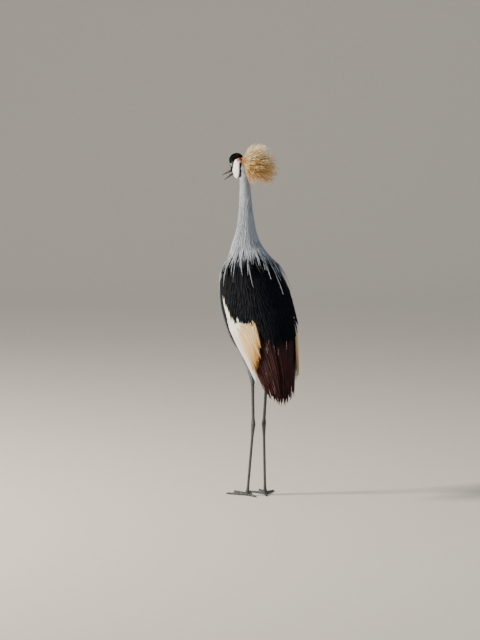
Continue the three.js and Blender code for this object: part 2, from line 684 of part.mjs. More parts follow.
// Legs
const torsoClear = torsoSkin(GAP);
const HIP_Z = 505;
const THIGH_END = 345;
const ANKLE_Z = 215;
const SOLE_TOP = 14;
const SCUTES = 11;
const TOES_OUT = 8; // degrees that each foot turns out
const tarsusRadius = through([0, 6.6], [0.08, 5.3], [0.2, 4], [0.85, 4], [1, 5.2]);
const LEGS = [
  { name: "left", side: -1, hip: [-36, 6], knee: [-15, 2], ankle: [-17, -10], foot: [-30, 4] },
  { name: "right", side: 1, hip: [44, 6], knee: [31, 4], ankle: [19, -4], foot: [29, 12] },
];
const legRing = ([x, y], z, halfX, halfY, count) =>
  oval(vec(x, y, z), ACROSS, vec(0, -1, 0), halfX, halfY, halfY, count);
const between = (a, b, t) => [mix(a[0], b[0], t), mix(a[1], b[1], t)];
for (const { name, hip, knee, ankle, foot } of LEGS) {
  const thigh = [
    [0, 22, 30],
    [0.2, 29, 46],
    [0.45, 23, 38],
    [0.7, 14, 23],
    [0.88, 9.5, 12],
    [1, 7.5, 8.5],
  ];
  const thighHeight = (t) => mix(HIP_Z, THIGH_END + GAP, t);
  const thighRings = thigh.map(([t, ...half]) => legRing(between(hip, knee, t), thighHeight(t), ...half, 16));
  add(`thigh_${name}`, loft(thighRings).subtract(torsoClear), BODY_GREY);
  const shank = [
    [0, 5.4, 5.8],
    [0.5, 4.3, 4.7],
    [0.85, 4.5, 5.3],
    [0.95, 6.2, 7.8],
    [1, 6.8, 8.2],
  ];
  const shankHeight = (t) => mix(THIGH_END, ANKLE_Z, t);
  const shin = (t) => between(knee, ankle, t);
  const shankRings = shank.map(([t, ...half]) => legRing(shin(t), shankHeight(t), ...half, 10));
  add(`shank_${name}`, loft(shankRings), LEG_BLACK);
  const scutes = steps(0, 1, SCUTES).slice(0, -1);
  const tarsus = scutes.flatMap((top) =>
    [top, top + 0.94 / SCUTES].map((t, edge) => {
      const radius = tarsusRadius(t) + (edge ? 0.45 : 0);
      const z = mix(ANKLE_Z - GAP, SOLE_TOP + GAP, t);
      return legRing(between(ankle, foot, t), z, radius, radius * 1.12, 8);
    }),
  );
  add(`tarsus_${name}`, loft(tarsus), LEG_BLACK);
}

// Feet, each with three toes forward and one back, and a claw on each
const TOES = [
  { name: "middle", heading: 0, length: 78, thick: 5.2 },
  { name: "inner", heading: 33, length: 60, thick: 4.8 },
  { name: "outer", heading: -34, length: 64, thick: 4.8 },
  { name: "hind", heading: 172, length: 36, thick: 4.4 },
];
const CLAW_LENGTH = 12;
const below = (piece) => piece.trimByPlane([0, 0, 1], 0);
for (const leg of LEGS) {
  const foot = new THREE.Group();
  foot.position.set(leg.foot[0], leg.foot[1], 0);
  foot.rotation.z = turn(-leg.side * TOES_OUT);
  crane.add(foot);
  const heel = [
    [0, SOLE_TOP, 6.2, 6.6],
    [0.5, 9, 7.4, 8.2],
    [1.5, 1.5, 7, 8],
  ].map(([y, z, halfX, halfY]) => legRing([0, y], z, halfX, halfY, 10));
  const parts = [loft(heel)];
  for (const toe of TOES) {
    const heading = new THREE.Matrix4().makeRotationZ(turn(leg.side * toe.heading));
    const across = ACROSS.clone().applyMatrix4(heading);
    const along = (far, high) => vec(0, far, high).applyMatrix4(heading);
    const joints = [0, 0.22, 0.45, 0.72, 1].map((t, joint) => {
      const radius = toe.thick * (1 - 0.36 * t) * (joint % 2 ? 0.9 : 1.06);
      return oval(along(t * toe.length, radius - 0.7), across, UPRIGHT, radius, radius, radius, 6);
    });
    parts.push(loft(joints));
    const claw = [0, 0.5, 1].map((t) => {
      const radius = mix(toe.thick * 0.6, 0.5, t);
      const far = toe.length + GAP + t * CLAW_LENGTH;
      return oval(along(far, radius - 0.4), across, UPRIGHT, radius * 0.8, radius, radius, 6);
    });
    add(`claw_${leg.name}_${toe.name}`, below(loft(claw)), BILL_BLACK, foot);
  }
  add(`foot_${leg.name}`, below(union(parts)), LEG_BLACK, foot);
}

crane.position.set(-OUTLINE_CENTRE[0], -OUTLINE_CENTRE[1], 0);

export default crane;
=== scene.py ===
# %% [markdown]
# A grey crowned crane stands on a pale studio floor, at life size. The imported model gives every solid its
# place, in metres, with the bird facing +Y and its right side towards +X. This lesson dresses those solids:
# a skin, then the feathers in the order in which they lie on the bird, then the head, crest and legs.

import json
import math

import bmesh
import bpy
import numpy as np
from mathutils import Euler, Matrix, Vector
from mathutils.kdtree import KDTree

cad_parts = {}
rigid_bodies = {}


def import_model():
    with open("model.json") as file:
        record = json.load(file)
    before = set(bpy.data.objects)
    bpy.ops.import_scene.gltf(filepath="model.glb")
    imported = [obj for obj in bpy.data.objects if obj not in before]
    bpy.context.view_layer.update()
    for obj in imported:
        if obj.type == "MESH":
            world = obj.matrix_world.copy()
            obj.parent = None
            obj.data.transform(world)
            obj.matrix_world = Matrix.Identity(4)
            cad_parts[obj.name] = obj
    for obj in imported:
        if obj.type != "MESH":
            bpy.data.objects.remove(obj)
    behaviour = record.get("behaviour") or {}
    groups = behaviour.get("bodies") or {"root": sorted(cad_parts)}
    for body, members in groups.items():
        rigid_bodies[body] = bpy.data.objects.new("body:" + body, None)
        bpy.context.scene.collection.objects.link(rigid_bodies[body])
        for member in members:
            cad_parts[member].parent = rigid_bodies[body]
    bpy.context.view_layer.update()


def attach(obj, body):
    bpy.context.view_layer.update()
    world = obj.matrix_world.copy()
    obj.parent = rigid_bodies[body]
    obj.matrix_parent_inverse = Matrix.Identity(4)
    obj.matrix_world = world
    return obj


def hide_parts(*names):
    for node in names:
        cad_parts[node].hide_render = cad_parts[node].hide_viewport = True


for left_over in list(bpy.data.objects):
    bpy.data.objects.remove(left_over)  # what Blender's own starting scene holds
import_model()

# %% [markdown]
# The camera comes first, because it decides which side is judged. The photograph was taken from behind the
# bird and to its left, from about ten metres, with the camera at a standing person's eye level. A long lens
# from the same place gives the same view, so no perspective has to be faked.

# %% The camera
TURN = math.radians(20)  # how far the view turns from the bird's own heading
DIP = math.radians(5.35)  # how far the camera looks down
DISTANCE = 10.0
FRAME_HEIGHT = 1.92  # metres that the frame's long side spans at the bird
AIM_LEFT, AIM_HEIGHT = 0.0525, 0.531  # the middle of the picture, in metres from the point between the feet
CENTRE = (5.8, 6.8)  # x and y of the outline's middle, in mm from the point between the feet
look = Vector((math.sin(TURN) * math.cos(DIP), math.cos(TURN) * math.cos(DIP), -math.sin(DIP)))
across = Vector((math.cos(TURN), -math.sin(TURN), 0))
aim = Vector((-CENTRE[0], -CENTRE[1], 0)) / 1000 - AIM_LEFT * across + Vector((0, 0, AIM_HEIGHT))
camera = bpy.data.objects.new("camera", bpy.data.cameras.new("camera"))
bpy.context.scene.collection.objects.link(camera)
camera.location = aim - DISTANCE * look
camera.rotation_euler = look.to_track_quat("-Z", "Y").to_euler()
camera.data.angle = 2 * math.atan(FRAME_HEIGHT / 2 / DISTANCE)
camera.data.clip_end = 100
bpy.context.scene.camera = camera
print("camera at", [round(v, 2) for v in camera.location])

# %% [markdown]
# Every colour below is written as the sRGB hex that an eye picks, and Blender works in linear light, so one
# function turns the first into the second. One more function adds a node, sets it and links it. Shader trees
# and Geometry Nodes trees are both made with it.

# %% Colours and nodes
def linear(colour):
    parts = [int(colour[i : i + 2], 16) / 255 for i in (1, 3, 5)]
    return tuple(p / 12.92 if p <= 0.04045 else ((p + 0.055) / 1.055) ** 2.4 for p in parts) + (1.0,)


def add(tree, kind, inputs=None, **settings):
    made = tree.nodes.new(kind)
    for name, value in settings.items():
        setattr(made, name, value)
    for socket, value in (inputs or {}).items():
        if isinstance(value, bpy.types.NodeSocket):
            tree.links.new(value, made.inputs[socket])
        else:
            made.inputs[socket].default_value = value
    return made


def new_material(name):
    made = bpy.data.materials.new(name)
    made.use_nodes = True
    made.node_tree.nodes.clear()
    return made, made.node_tree


print("a mid grey in linear light:", round(linear("#808080")[0], 3))

# %% [markdown]
# The studio is a seamless paper sweep: one pale sheet that runs flat under the bird and curves up far behind
# it. A plane and a wall would show their corner, and a curved sheet shows none.

# %% The floor
SHEET_FRONT, SHEET_BEND, BEND_RADIUS, SHEET_HALF = -14, 6, 4, 12  # metres


def floor_sheet():
    mesh = bpy.data.meshes.new("studio_floor")
    run = [(y, 0.0) for y in range(SHEET_FRONT, SHEET_BEND)]
    run += [(SHEET_BEND + BEND_RADIUS * math.sin(t), BEND_RADIUS * (1 - math.cos(t)))
            for t in np.linspace(0.1, math.pi / 2, 14)]
    run += [(SHEET_BEND + BEND_RADIUS, BEND_RADIUS + rise) for rise in (2, 6)]
    points = [Vector((x, y, z)) for y, z in run for x in (-SHEET_HALF, SHEET_HALF)]
    mesh.from_pydata(points, [], [(2 * i, 2 * i + 1, 2 * i + 3, 2 * i + 2) for i in range(len(run) - 1)])
    mesh.shade_smooth()
    made = bpy.data.objects.new("studio_floor", mesh)
    made.rotation_euler.z = -TURN
    return made


floor = floor_sheet()
bpy.context.scene.collection.objects.link(floor)
# Matt studio paper: its fibres give it a very faint mottle, and it has no gloss
paper, tree = new_material("seamless_paper")
place_on = add(tree, "ShaderNodeTexCoord")
fibre = add(tree, "ShaderNodeTexNoise", {"Vector": place_on.outputs["Object"], "Scale": 60.0, "Detail": 3.0})
shade = add(tree, "ShaderNodeValToRGB", {"Fac": fibre.outputs["Fac"]})
shade.color_ramp.elements[0].color = linear("#dedad2")
shade.color_ramp.elements[1].color = linear("#e4e0d9")
matt = add(tree, "ShaderNodeBsdfPrincipled", {"Base Color": shade.outputs["Color"], "Roughness": 0.9})
add(tree, "ShaderNodeOutputMaterial", {"Surface": matt.outputs["BSDF"]})
floor.data.materials.append(paper)
print("the paper is", 2 * SHEET_HALF, "m wide")

# %% [markdown]
# A large soft lamp stands to the camera's left, the side that is bright in the photograph, and a weak one on
# the right keeps the shaded side readable. The world adds an even grey light. A sun lamp would give harder
# shadows, but a soft one shows the form of the feathers better.

# %% The lights
LAMP_AIM = Vector((0, 0, 0.55))
world = bpy.data.worlds.new("studio")
world.use_nodes = True
world.node_tree.nodes["Background"].inputs["Color"].default_value = linear("#e9edf2")
world.node_tree.nodes["Background"].inputs["Strength"].default_value = 0.34
bpy.context.scene.world = world


def lamp(name, aside, ahead, height, size, power, colour):
    """A round soft lamp, placed in metres to the camera's right, ahead of the camera's way, and up."""
    data = bpy.data.lights.new(name, "AREA")
    data.shape, data.size, data.energy, data.color = "DISK", size, power, linear(colour)[:3]
    made = bpy.data.objects.new(name, data)
    level = Vector((look.x, look.y, 0)).normalized()
    made.location = aside * across + ahead * level + Vector((0, 0, height))
    made.rotation_euler = (LAMP_AIM - made.location).to_track_quat("-Z", "Y").to_euler()
    bpy.context.scene.collection.objects.link(made)


lamp("key_light", aside=-4.4, ahead=-0.9, height=3.0, size=1.2, power=560, colour="#fff2de")
lamp("fill_light", aside=3.0, ahead=-2.4, height=1.8, size=2.6, power=16, colour="#dfe8ff")

# %% [markdown]
# The bird is described by one line down its middle: from the top of the neck, down the back, to the tips of
# the folded wings. A place on it is a station (millimetres along the line), an angle round it (0 at the back,
# 90 on the bird's right, 180 at the breast) and a height above the coat. The solids were made in the same
# way, so what is laid out with these numbers meets them without fitting.

# %% A smooth curve through given values
def through(*pairs):
    """A curve that passes through every (place, value) and never swings past one."""
    at, value = np.array(pairs, float).T
    slope = np.diff(value) / np.diff(at)
    same_way = slope[:-1] * slope[1:] > 0
    both = np.where(same_way, slope[:-1] + slope[1:], 1)
    middle = np.where(same_way, 2 * slope[:-1] * slope[1:] / both, 0)
    tangent = np.concatenate([slope[:1], middle, slope[-1:]])

    def curve(x):
        x = np.clip(x, at[0], at[-1])
        i = np.clip(np.searchsorted(at, x, "right") - 1, 0, len(slope) - 1)
        span = at[i + 1] - at[i]
        t = (x - at[i]) / span
        rise = t * t * (3 - 2 * t)
        bend = t * (1 - t) ** 2 * tangent[i] - t * t * (1 - t) * tangent[i + 1]
        return value[i] * (1 - rise) + value[i + 1] * rise + span * bend

    return curve


def ramp(low, high, x):
    """0 up to low, 1 from high on, and straight between them."""
    return np.clip((np.asarray(x, float) - low) / (high - low), 0, 1)


def smooth(low, high, x):
    """The same, with both corners rounded."""
    t = ramp(low, high, x)
    return t * t * (3 - 2 * t)


print("half way up a smooth step:", float(smooth(0, 2, 1)))

# %% The midline
# Each point is how far forward and how high it is, in mm, from the top of the neck to the wing tips
MIDLINE = [(110, 961), (107, 905), (102, 850), (99, 795), (100, 745), (88, 697), (58, 640), (20, 580),
           (-24, 522), (-68, 470), (-104, 425), (-137, 377), (-163, 323), (-180, 266)]
SWAY = through((0, 0), (150, 0), (266, 4), (486, 6), (778, 11))  # how far it strays to the bird's right
STEPS = 200  # between two points of the midline


def midline_table():
    """Station, place and heading at many places on a curve through the points."""
    p = np.array(MIDLINE, float)
    p = np.vstack([2 * p[0] - p[1], p, 2 * p[-1] - p[-2]])
    out = []
    for a, b, c, d in zip(p, p[1:], p[2:], p[3:]):
        gaps = [np.linalg.norm(b - a) ** 0.5, np.linalg.norm(c - b) ** 0.5, np.linalg.norm(d - c) ** 0.5]
        leave = ((b - a) / gaps[0] - (c - a) / (gaps[0] + gaps[1]) + (c - b) / gaps[1]) * gaps[1]
        arrive = ((c - b) / gaps[1] - (d - b) / (gaps[1] + gaps[2]) + (d - c) / gaps[2]) * gaps[1]
        t = np.linspace(0, 1, STEPS, endpoint=False)[:, None]
        cubic = (2 * b - 2 * c + leave + arrive) * t**3 + (3 * c - 3 * b - 2 * leave - arrive) * t**2
        out.append(cubic + leave * t + b)
    line = np.vstack([*out, p[-2:-1]])
    length = np.concatenate([[0], np.cumsum(np.linalg.norm(np.diff(line, axis=0), axis=1))])
    slope = np.gradient(line, axis=0)
    return length, line, slope / np.linalg.norm(slope, axis=1)[:, None]


LINE_AT, LINE, HEADING = midline_table()
print("the midline is", round(LINE_AT[-1]), "mm long")

# %% How thick the bird is along its midline
# Half the width, and how far the back and the belly lie from the midline, at a station, all in mm
FORE = {
    "width": [(0, 16.5), (56, 17.5), (111, 21), (166, 28), (216, 44), (266, 64), (330, 82), (401, 90)],
    "back": [(0, 16.5), (56, 17.5), (111, 21), (166, 27), (216, 38), (266, 50), (330, 58), (401, 62)],
    "belly": [(0, 17), (56, 18.5), (111, 22), (166, 30), (216, 43), (266, 64), (330, 86), (401, 94)],
}
RUMP = {
    "width": [(474, 88), (542, 72), (600, 36), (612, 22), (620, 10)],
    "back": [(474, 57), (542, 42), (600, 22), (612, 15), (620, 7)],
    "belly": [(474, 84), (542, 60), (600, 30), (612, 19), (620, 8)],
}
WING_TIPS = {
    "width": [(474, 89), (542, 79), (600, 64), (659, 49), (718, 36), (778, 22)],
    "back": [(474, 58), (542, 48), (600, 36), (659, 27), (718, 20), (778, 12)],
    "belly": [(474, 85), (542, 66), (600, 46), (659, 34), (718, 26), (778, 16)],
}
SKIN = {part: through(*FORE[part], *RUMP[part]) for part in FORE}
COAT = {part: through(*FORE[part], *WING_TIPS[part]) for part in FORE}


def place(station, angle, height, sizes=COAT):
    """The points, in metres, at stations, angles and heights above the coat."""
    station, angle, height = np.broadcast_arrays(*[np.asarray(v, float) for v in (station, angle, height)])
    centre = np.stack([np.interp(station, LINE_AT, LINE[:, k]) for k in (0, 1)], -1)
    along = np.stack([np.interp(station, LINE_AT, HEADING[:, k]) for k in (0, 1)], -1)
    lift, aside = np.cos(np.radians(angle)), np.sin(np.radians(angle))
    depth = (np.where(lift >= 0, sizes["back"](station), sizes["belly"](station)) + height) * lift
    x = SWAY(station) + (sizes["width"](station) + height) * aside - CENTRE[0]
    y = centre[..., 0] + depth * along[..., 1] - CENTRE[1]
    z = centre[..., 1] - depth * along[..., 0]
    return np.stack([x, y, z], -1) / 1000


print("the back at station 401 is at", place(401, 0, 0).round(3))

# %% [markdown]
# The head has its own directions: it is turned 22 degrees to the left and bowed 17 degrees. Its skin runs
# from the foot of the bill over the crown and bends down at the nape to meet the first ring of the neck, so
# head, neck and body can be one tube of rings.

# %% The head's place
HEAD_AT = Vector((-11.4 - CENTRE[0], 138.2 - CENTRE[1], 994))
HEAD_TURN, HEAD_BOW = math.radians(22), math.radians(-17)
HEAD = Matrix.Translation(HEAD_AT / 1000) @ Matrix.Rotation(HEAD_TURN, 4, "Z")
HEAD = HEAD @ Matrix.Rotation(HEAD_BOW, 4, "X") @ Matrix.Scale(0.001, 4)


def on_head(points):
    """Points in the head's own millimetres, moved to their place on the bird, in metres."""
    return np.asarray(points, float) @ np.array(HEAD.to_3x3()).T + np.array(HEAD.translation)


def off_head(points):
    """The other way: points on the bird, in the head's own millimetres."""
    back = HEAD.inverted()
    return np.asarray(points, float) @ np.array(back.to_3x3()).T + np.array(back.translation)


print("the head's middle is at", on_head([0, 0, 0]).round(3))

# %% The head's rings
AROUND = 72  # points in each ring of the skin
COAT_DEPTH = 1.6  # how far the skin lies under the solids' surface, in millimetres
# How far forward, how high, half the width, and how far up and down from there, from the bill's foot back
FACE = [(29, -14.5, 7.5, 8, 8.5), (24, -11, 12, 15, 14), (16, -6, 16.5, 22, 22), (8, -3, 19, 24, 29)]
# The rings of the nape turn round PIVOT: at which angle, how far off, half the width, outward and inward
NAPE = [(90, 38, 20, 19, 33), (65, 33, 20.2, 20, 29), (40, 28, 19.2, 19, 24), (15, 24, 17.8, 17.5, 20)]
PIVOT = (2, -36)


def ring(centre, side, up, half, rise, drop, count=AROUND):
    """An oval of points: half to either side, rise upward and drop downward."""
    angle = np.linspace(0, 2 * math.pi, count, endpoint=False)[:, None]
    lift = np.cos(angle)
    sideways = np.array(side) * half * np.sin(angle)
    upward = np.array(up) * np.where(lift > 0, rise, drop) * lift
    return np.array(centre) + sideways + upward


def head_rings(sunk):
    rings = [ring((0, y, z), (1, 0, 0), (0, 0, 1), s - sunk, u - sunk, d - sunk) for y, z, s, u, d in FACE]
    for at, far, side, outer, inner in NAPE:
        up = np.array([0, -math.cos(math.radians(at)), math.sin(math.radians(at))])
        middle = np.array([0, *PIVOT]) + up * far
        rings.append(ring(middle, (1, 0, 0), up, side - sunk, outer - sunk, inner - sunk))
    return [on_head(r) for r in rings]


print("head rings:", len(head_rings(0)))

# %% [markdown]
# One skin lies under all the feathers. It could be a sculpted blob, but rings at the solids' own stations
# keep it exactly a feather's depth inside them. The thighs are two more tubes, and the velvet cushion on the
# forehead is an oval. A voxel remesh joins them with no seam, and smoothing rounds the creases.

# %% From rings to a mesh
def outward(mesh, weld=True):
    """The mesh with every face turned outward, and with points in one place made one."""
    work = bmesh.new()
    work.from_mesh(mesh)
    if weld:
        bmesh.ops.remove_doubles(work, verts=work.verts, dist=1e-6)
    bmesh.ops.recalc_face_normals(work, faces=work.faces)
    work.to_mesh(mesh)
    work.free()
    mesh.shade_smooth()
    return mesh


def tube(name, rings):
    """A closed mesh over rings of points, with a point in the middle of each end."""
    rings = [np.asarray(r) for r in rings]
    count = len(rings[0])
    points = np.vstack([*rings, rings[0].mean(0), rings[-1].mean(0)])
    first, last = len(points) - 2, len(points) - 1
    faces = []
    for row in range(len(rings) - 1):
        for i in range(count):
            a, b = row * count + i, row * count + (i + 1) % count
            faces.append((a, b, b + count, a + count))
    foot = (len(rings) - 1) * count
    for i in range(count):
        faces.append((first, (i + 1) % count, i))
        faces.append((last, foot + i, foot + (i + 1) % count))
    mesh = bpy.data.meshes.new(name)
    mesh.from_pydata(points.tolist(), [], faces)
    return outward(mesh)


def ellipsoid(name, at, radii, tilt=0, swing=0, sunk=0.0, count=(48, 32)):
    """A rounded body on the head, in the head's own millimetres: tilted about X, then swung about Z."""
    work = bmesh.new()
    bmesh.ops.create_uvsphere(work, u_segments=count[0], v_segments=count[1], radius=1)
    turned = Euler((math.radians(tilt), 0, math.radians(swing)), "XYZ").to_matrix().to_4x4()
    work.transform(Matrix.Translation(at) @ turned @ Matrix.Diagonal([r - sunk for r in radii] + [1]))
    work.transform(HEAD)
    mesh = bpy.data.meshes.new(name)
    work.to_mesh(mesh)
    work.free()
    return outward(mesh)


print("helpers for meshes ready")

# %% Objects, and the mesh that their modifiers make
def shown(name, mesh):
    made = bpy.data.objects.new(name, mesh)
    bpy.context.scene.collection.objects.link(made)
    return made


def plain_mesh(thing):
    """What the object's modifiers make, as a mesh of its own; the modifiers are then removed."""
    bpy.context.view_layer.update()
    now = bpy.context.evaluated_depsgraph_get()
    seen = thing.evaluated_get(now)
    made = bpy.data.meshes.new_from_object(seen, preserve_all_data_layers=True, depsgraph=now)
    made.name = thing.name
    thing.modifiers.clear()
    thing.data = made
    return made


def join_and_soften(made, meshes, voxel, rounds):
    """The meshes as one skin, with no inner walls and with rounded creases; voxel is in metres."""
    work = bmesh.new()
    for mesh in meshes:
        work.from_mesh(mesh)
    work.to_mesh(made.data)
    work.free()
    voxels = made.modifiers.new("join", "REMESH")
    voxels.mode, voxels.voxel_size = "VOXEL", voxel
    soften = made.modifiers.new("soften", "SMOOTH")
    soften.iterations, soften.factor = rounds, 0.5
    return plain_mesh(made)


def put_on_bird(made, slot, *nodes):
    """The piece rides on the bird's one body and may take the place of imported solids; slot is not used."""
    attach(made, "root")
    if nodes:
        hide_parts(*nodes)


print("helpers ready")

# %% The thighs' rings
LEGS = {
    "left": {"side": -1, "hip": (-36, 6), "knee": (-15, 2), "ankle": (-17, -10), "foot": (-30, 4)},
    "right": {"side": 1, "hip": (44, 6), "knee": (31, 4), "ankle": (19, -4), "foot": (29, 12)},
}
HIP_Z, THIGH_END, ANKLE_Z, SOLE_TOP = 505, 345, 215, 14
# The share of the way down, half the width, and half the depth from front to back
THIGH = [(0, 22, 30), (0.2, 29, 46), (0.45, 23, 38), (0.7, 14, 23), (0.88, 9.5, 12), (1, 7.5, 8.5)]


def leg_ring(low, high, share, z, half_x, half_y, count=AROUND):
    """A level ring on the line from one joint of the leg to the next, in metres."""
    x, y = [a + (b - a) * share for a, b in zip(low, high)]
    middle = (x - CENTRE[0], y - CENTRE[1], z)
    return ring(middle, (1, 0, 0), (0, -1, 0), half_x, half_y, half_y, count) / 1000


def thigh_rings(leg, sunk):
    wide, deep = [through(*[(t, row[k]) for t, *row in THIGH]) for k in (0, 1)]
    rings = []
    for t in np.linspace(0, 1, 25):
        z = HIP_Z + (THIGH_END - HIP_Z) * t
        rings.append(leg_ring(leg["hip"], leg["knee"], t, z, float(wide(t)) - sunk, float(deep(t)) - sunk))
    return rings


print("thighs run from", HIP_Z, "mm down to", THIGH_END, "mm")

# %% The skin
CUSHION = {"at": (0, 5.5, 15), "radii": (17, 26, 19)}  # the velvet cushion on the forehead
stations = np.concatenate([np.arange(0, 600, 8), [606, 612, 616]])
round_the_bird = np.arange(AROUND) * 360 / AROUND
body_rings = [place(s, round_the_bird, -COAT_DEPTH, SKIN) for s in stations]
skin = shown("skin", tube("skin", head_rings(COAT_DEPTH) + body_rings))
cushion = ellipsoid("cushion", CUSHION["at"], CUSHION["radii"], sunk=COAT_DEPTH)
thighs = [tube("thigh", thigh_rings(leg, COAT_DEPTH)) for leg in LEGS.values()]
join_and_soften(skin, [skin.data, cushion, *thighs], voxel=0.0024, rounds=4)
print("skin faces:", len(skin.data.polygons))

# %% The thighs run into the belly
# Only the skin round the tops of the thighs is softened much more; the share says how much, by its height
tops = skin.vertex_groups.new(name="thigh_tops")
heights = np.array([v.co.z for v in skin.data.vertices]) * 1000
share = np.round(smooth(425, 462, heights) * (1 - smooth(515, 545, heights)), 1)
for weight in np.unique(share)[1:]:
    tops.add(np.nonzero(share == weight)[0].tolist(), float(weight), "REPLACE")
blend = skin.modifiers.new("blend", "SMOOTH")
blend.iterations, blend.factor, blend.vertex_group = 90, 0.6, "thigh_tops"
plain_mesh(skin).shade_smooth()
skin.vertex_groups.clear()
print("points softened:", int((share > 0).sum()))

# %% [markdown]
# A feather is a thin solid blade with a raised shaft down its middle. Its outline is given as a share of its
# width along its length, so the same few lines of code make the lance of a hackle, the blunt blade of a wing
# feather and the small tuft of the velvet cap. Each blade is made once, one unit long and wide, and then
# repeated at many sizes. Its own UV map says how far across and how far along the blade a point is.

# %% Blades
def blade(name, outline, rows, half_section):
    """half_section: (share of half width, height) from the upper middle to the edge and back below."""
    section = [(-x, z) for x, z in reversed(half_section)] + list(half_section)
    section = [p for i, p in enumerate(section) if p != section[i - 1]]
    count = len(section)
    points, on_blade, faces = [], [], []
    for t in rows:
        for x, z in section:
            points.append((x * float(outline(t)) / 2, t, z))
            on_blade.append((0.5 + x / 2, t))
    for row in range(len(rows) - 1):
        for i in range(count):
            a, b = row * count + i, row * count + (i + 1) % count
            faces.append((a, b, b + count, a + count))
    faces.append(tuple(reversed(range(count))))
    faces.append(tuple(range((len(rows) - 1) * count, len(rows) * count)))
    mesh = bpy.data.meshes.new(name)
    mesh.from_pydata(points, [], faces)
    own = mesh.uv_layers.new(name="Feather")
    own.data.foreach_set("uv", [v for loop in mesh.loops for v in on_blade[loop.vertex_index]])
    print(name, len(outward(mesh).polygons), "faces")
    return bpy.data.objects.new(name, mesh)


# Width at shares of the length, then the section from the middle to the edge and back
ROUND_TIP = through((0, 0.5), (0.25, 0.95), (0.6, 1), (0.85, 0.8), (1, 0.3))
LANCE_TIP = through((0, 0.5), (0.3, 1), (0.7, 0.7), (1, 0.08))
FLAT_SECTION = [(0, 0.5), (1, 0), (0, -0.5)]
SHAFT_SECTION = [(0, 1.0), (0.12, 0.5), (1, -0.1), (0, -0.5)]
small_blade = blade("small_blade", ROUND_TIP, [0, 0.35, 0.75, 1], FLAT_SECTION)
streak_blade = blade("streak_blade", LANCE_TIP, [0, 0.3, 0.65, 1], FLAT_SECTION)
long_blade = blade("long_blade", LANCE_TIP, [0, 0.15, 0.35, 0.6, 0.8, 0.92, 1], SHAFT_SECTION)
wing_blade = blade("wing_blade", ROUND_TIP, [0, 0.2, 0.4, 0.6, 0.78, 0.92, 1], SHAFT_SECTION)

# %% [markdown]
# Thousands of small feathers cover the skin. They could be painted or be hair, but the model has to hold
# them as solid shapes, so a Geometry Nodes tree scatters points on the skin, no two closer than the given
# spacing, and stands a blade on each. The skin carries the numbers that the tree reads: which way the
# feathers lie, how large they are, and where they grow.

# %% What the two trees share
def new_tree(name, **inputs):
    """A Geometry Nodes tree with these inputs, and the node that gives their values."""
    tree = bpy.data.node_groups.new(name, "GeometryNodeTree")
    tree.interface.new_socket(name="Geometry", in_out="OUTPUT", socket_type="NodeSocketGeometry")
    for label, kind in inputs.items():
        tree.interface.new_socket(name=label, in_out="INPUT", socket_type=f"NodeSocket{kind}")
    return tree, add(tree, "NodeGroupInput")


def finish_tree(tree, spread, entry):
    """Real meshes, one finish, and the random shade of each blade."""
    chance = add(tree, "FunctionNodeRandomValue", {"Seed": entry.outputs["Seed"]}, data_type="FLOAT")
    shade = add(tree, "GeometryNodeStoreNamedAttribute",
                {"Geometry": spread, "Name": "tint", "Value": chance.outputs[1]},
                data_type="FLOAT", domain="INSTANCE")
    real = add(tree, "GeometryNodeRealizeInstances", {"Geometry": shade.outputs[0]})
    coated = add(tree, "GeometryNodeSetMaterial",
                 {"Geometry": real.outputs[0], "Material": entry.outputs["Finish"]})
    add(tree, "NodeGroupOutput", {0: coated.outputs[0]})


def run_tree(made, tree, **values):
    """What the tree makes of the object's mesh, with these values in its inputs."""
    layer = made.modifiers.new("layer", "NODES")
    layer.node_group = tree
    for entry in tree.interface.items_tree:
        if entry.item_type == "SOCKET" and entry.name in values:
            layer[entry.identifier] = values[entry.name]
    return plain_mesh(made)


print("shared parts of the trees ready")

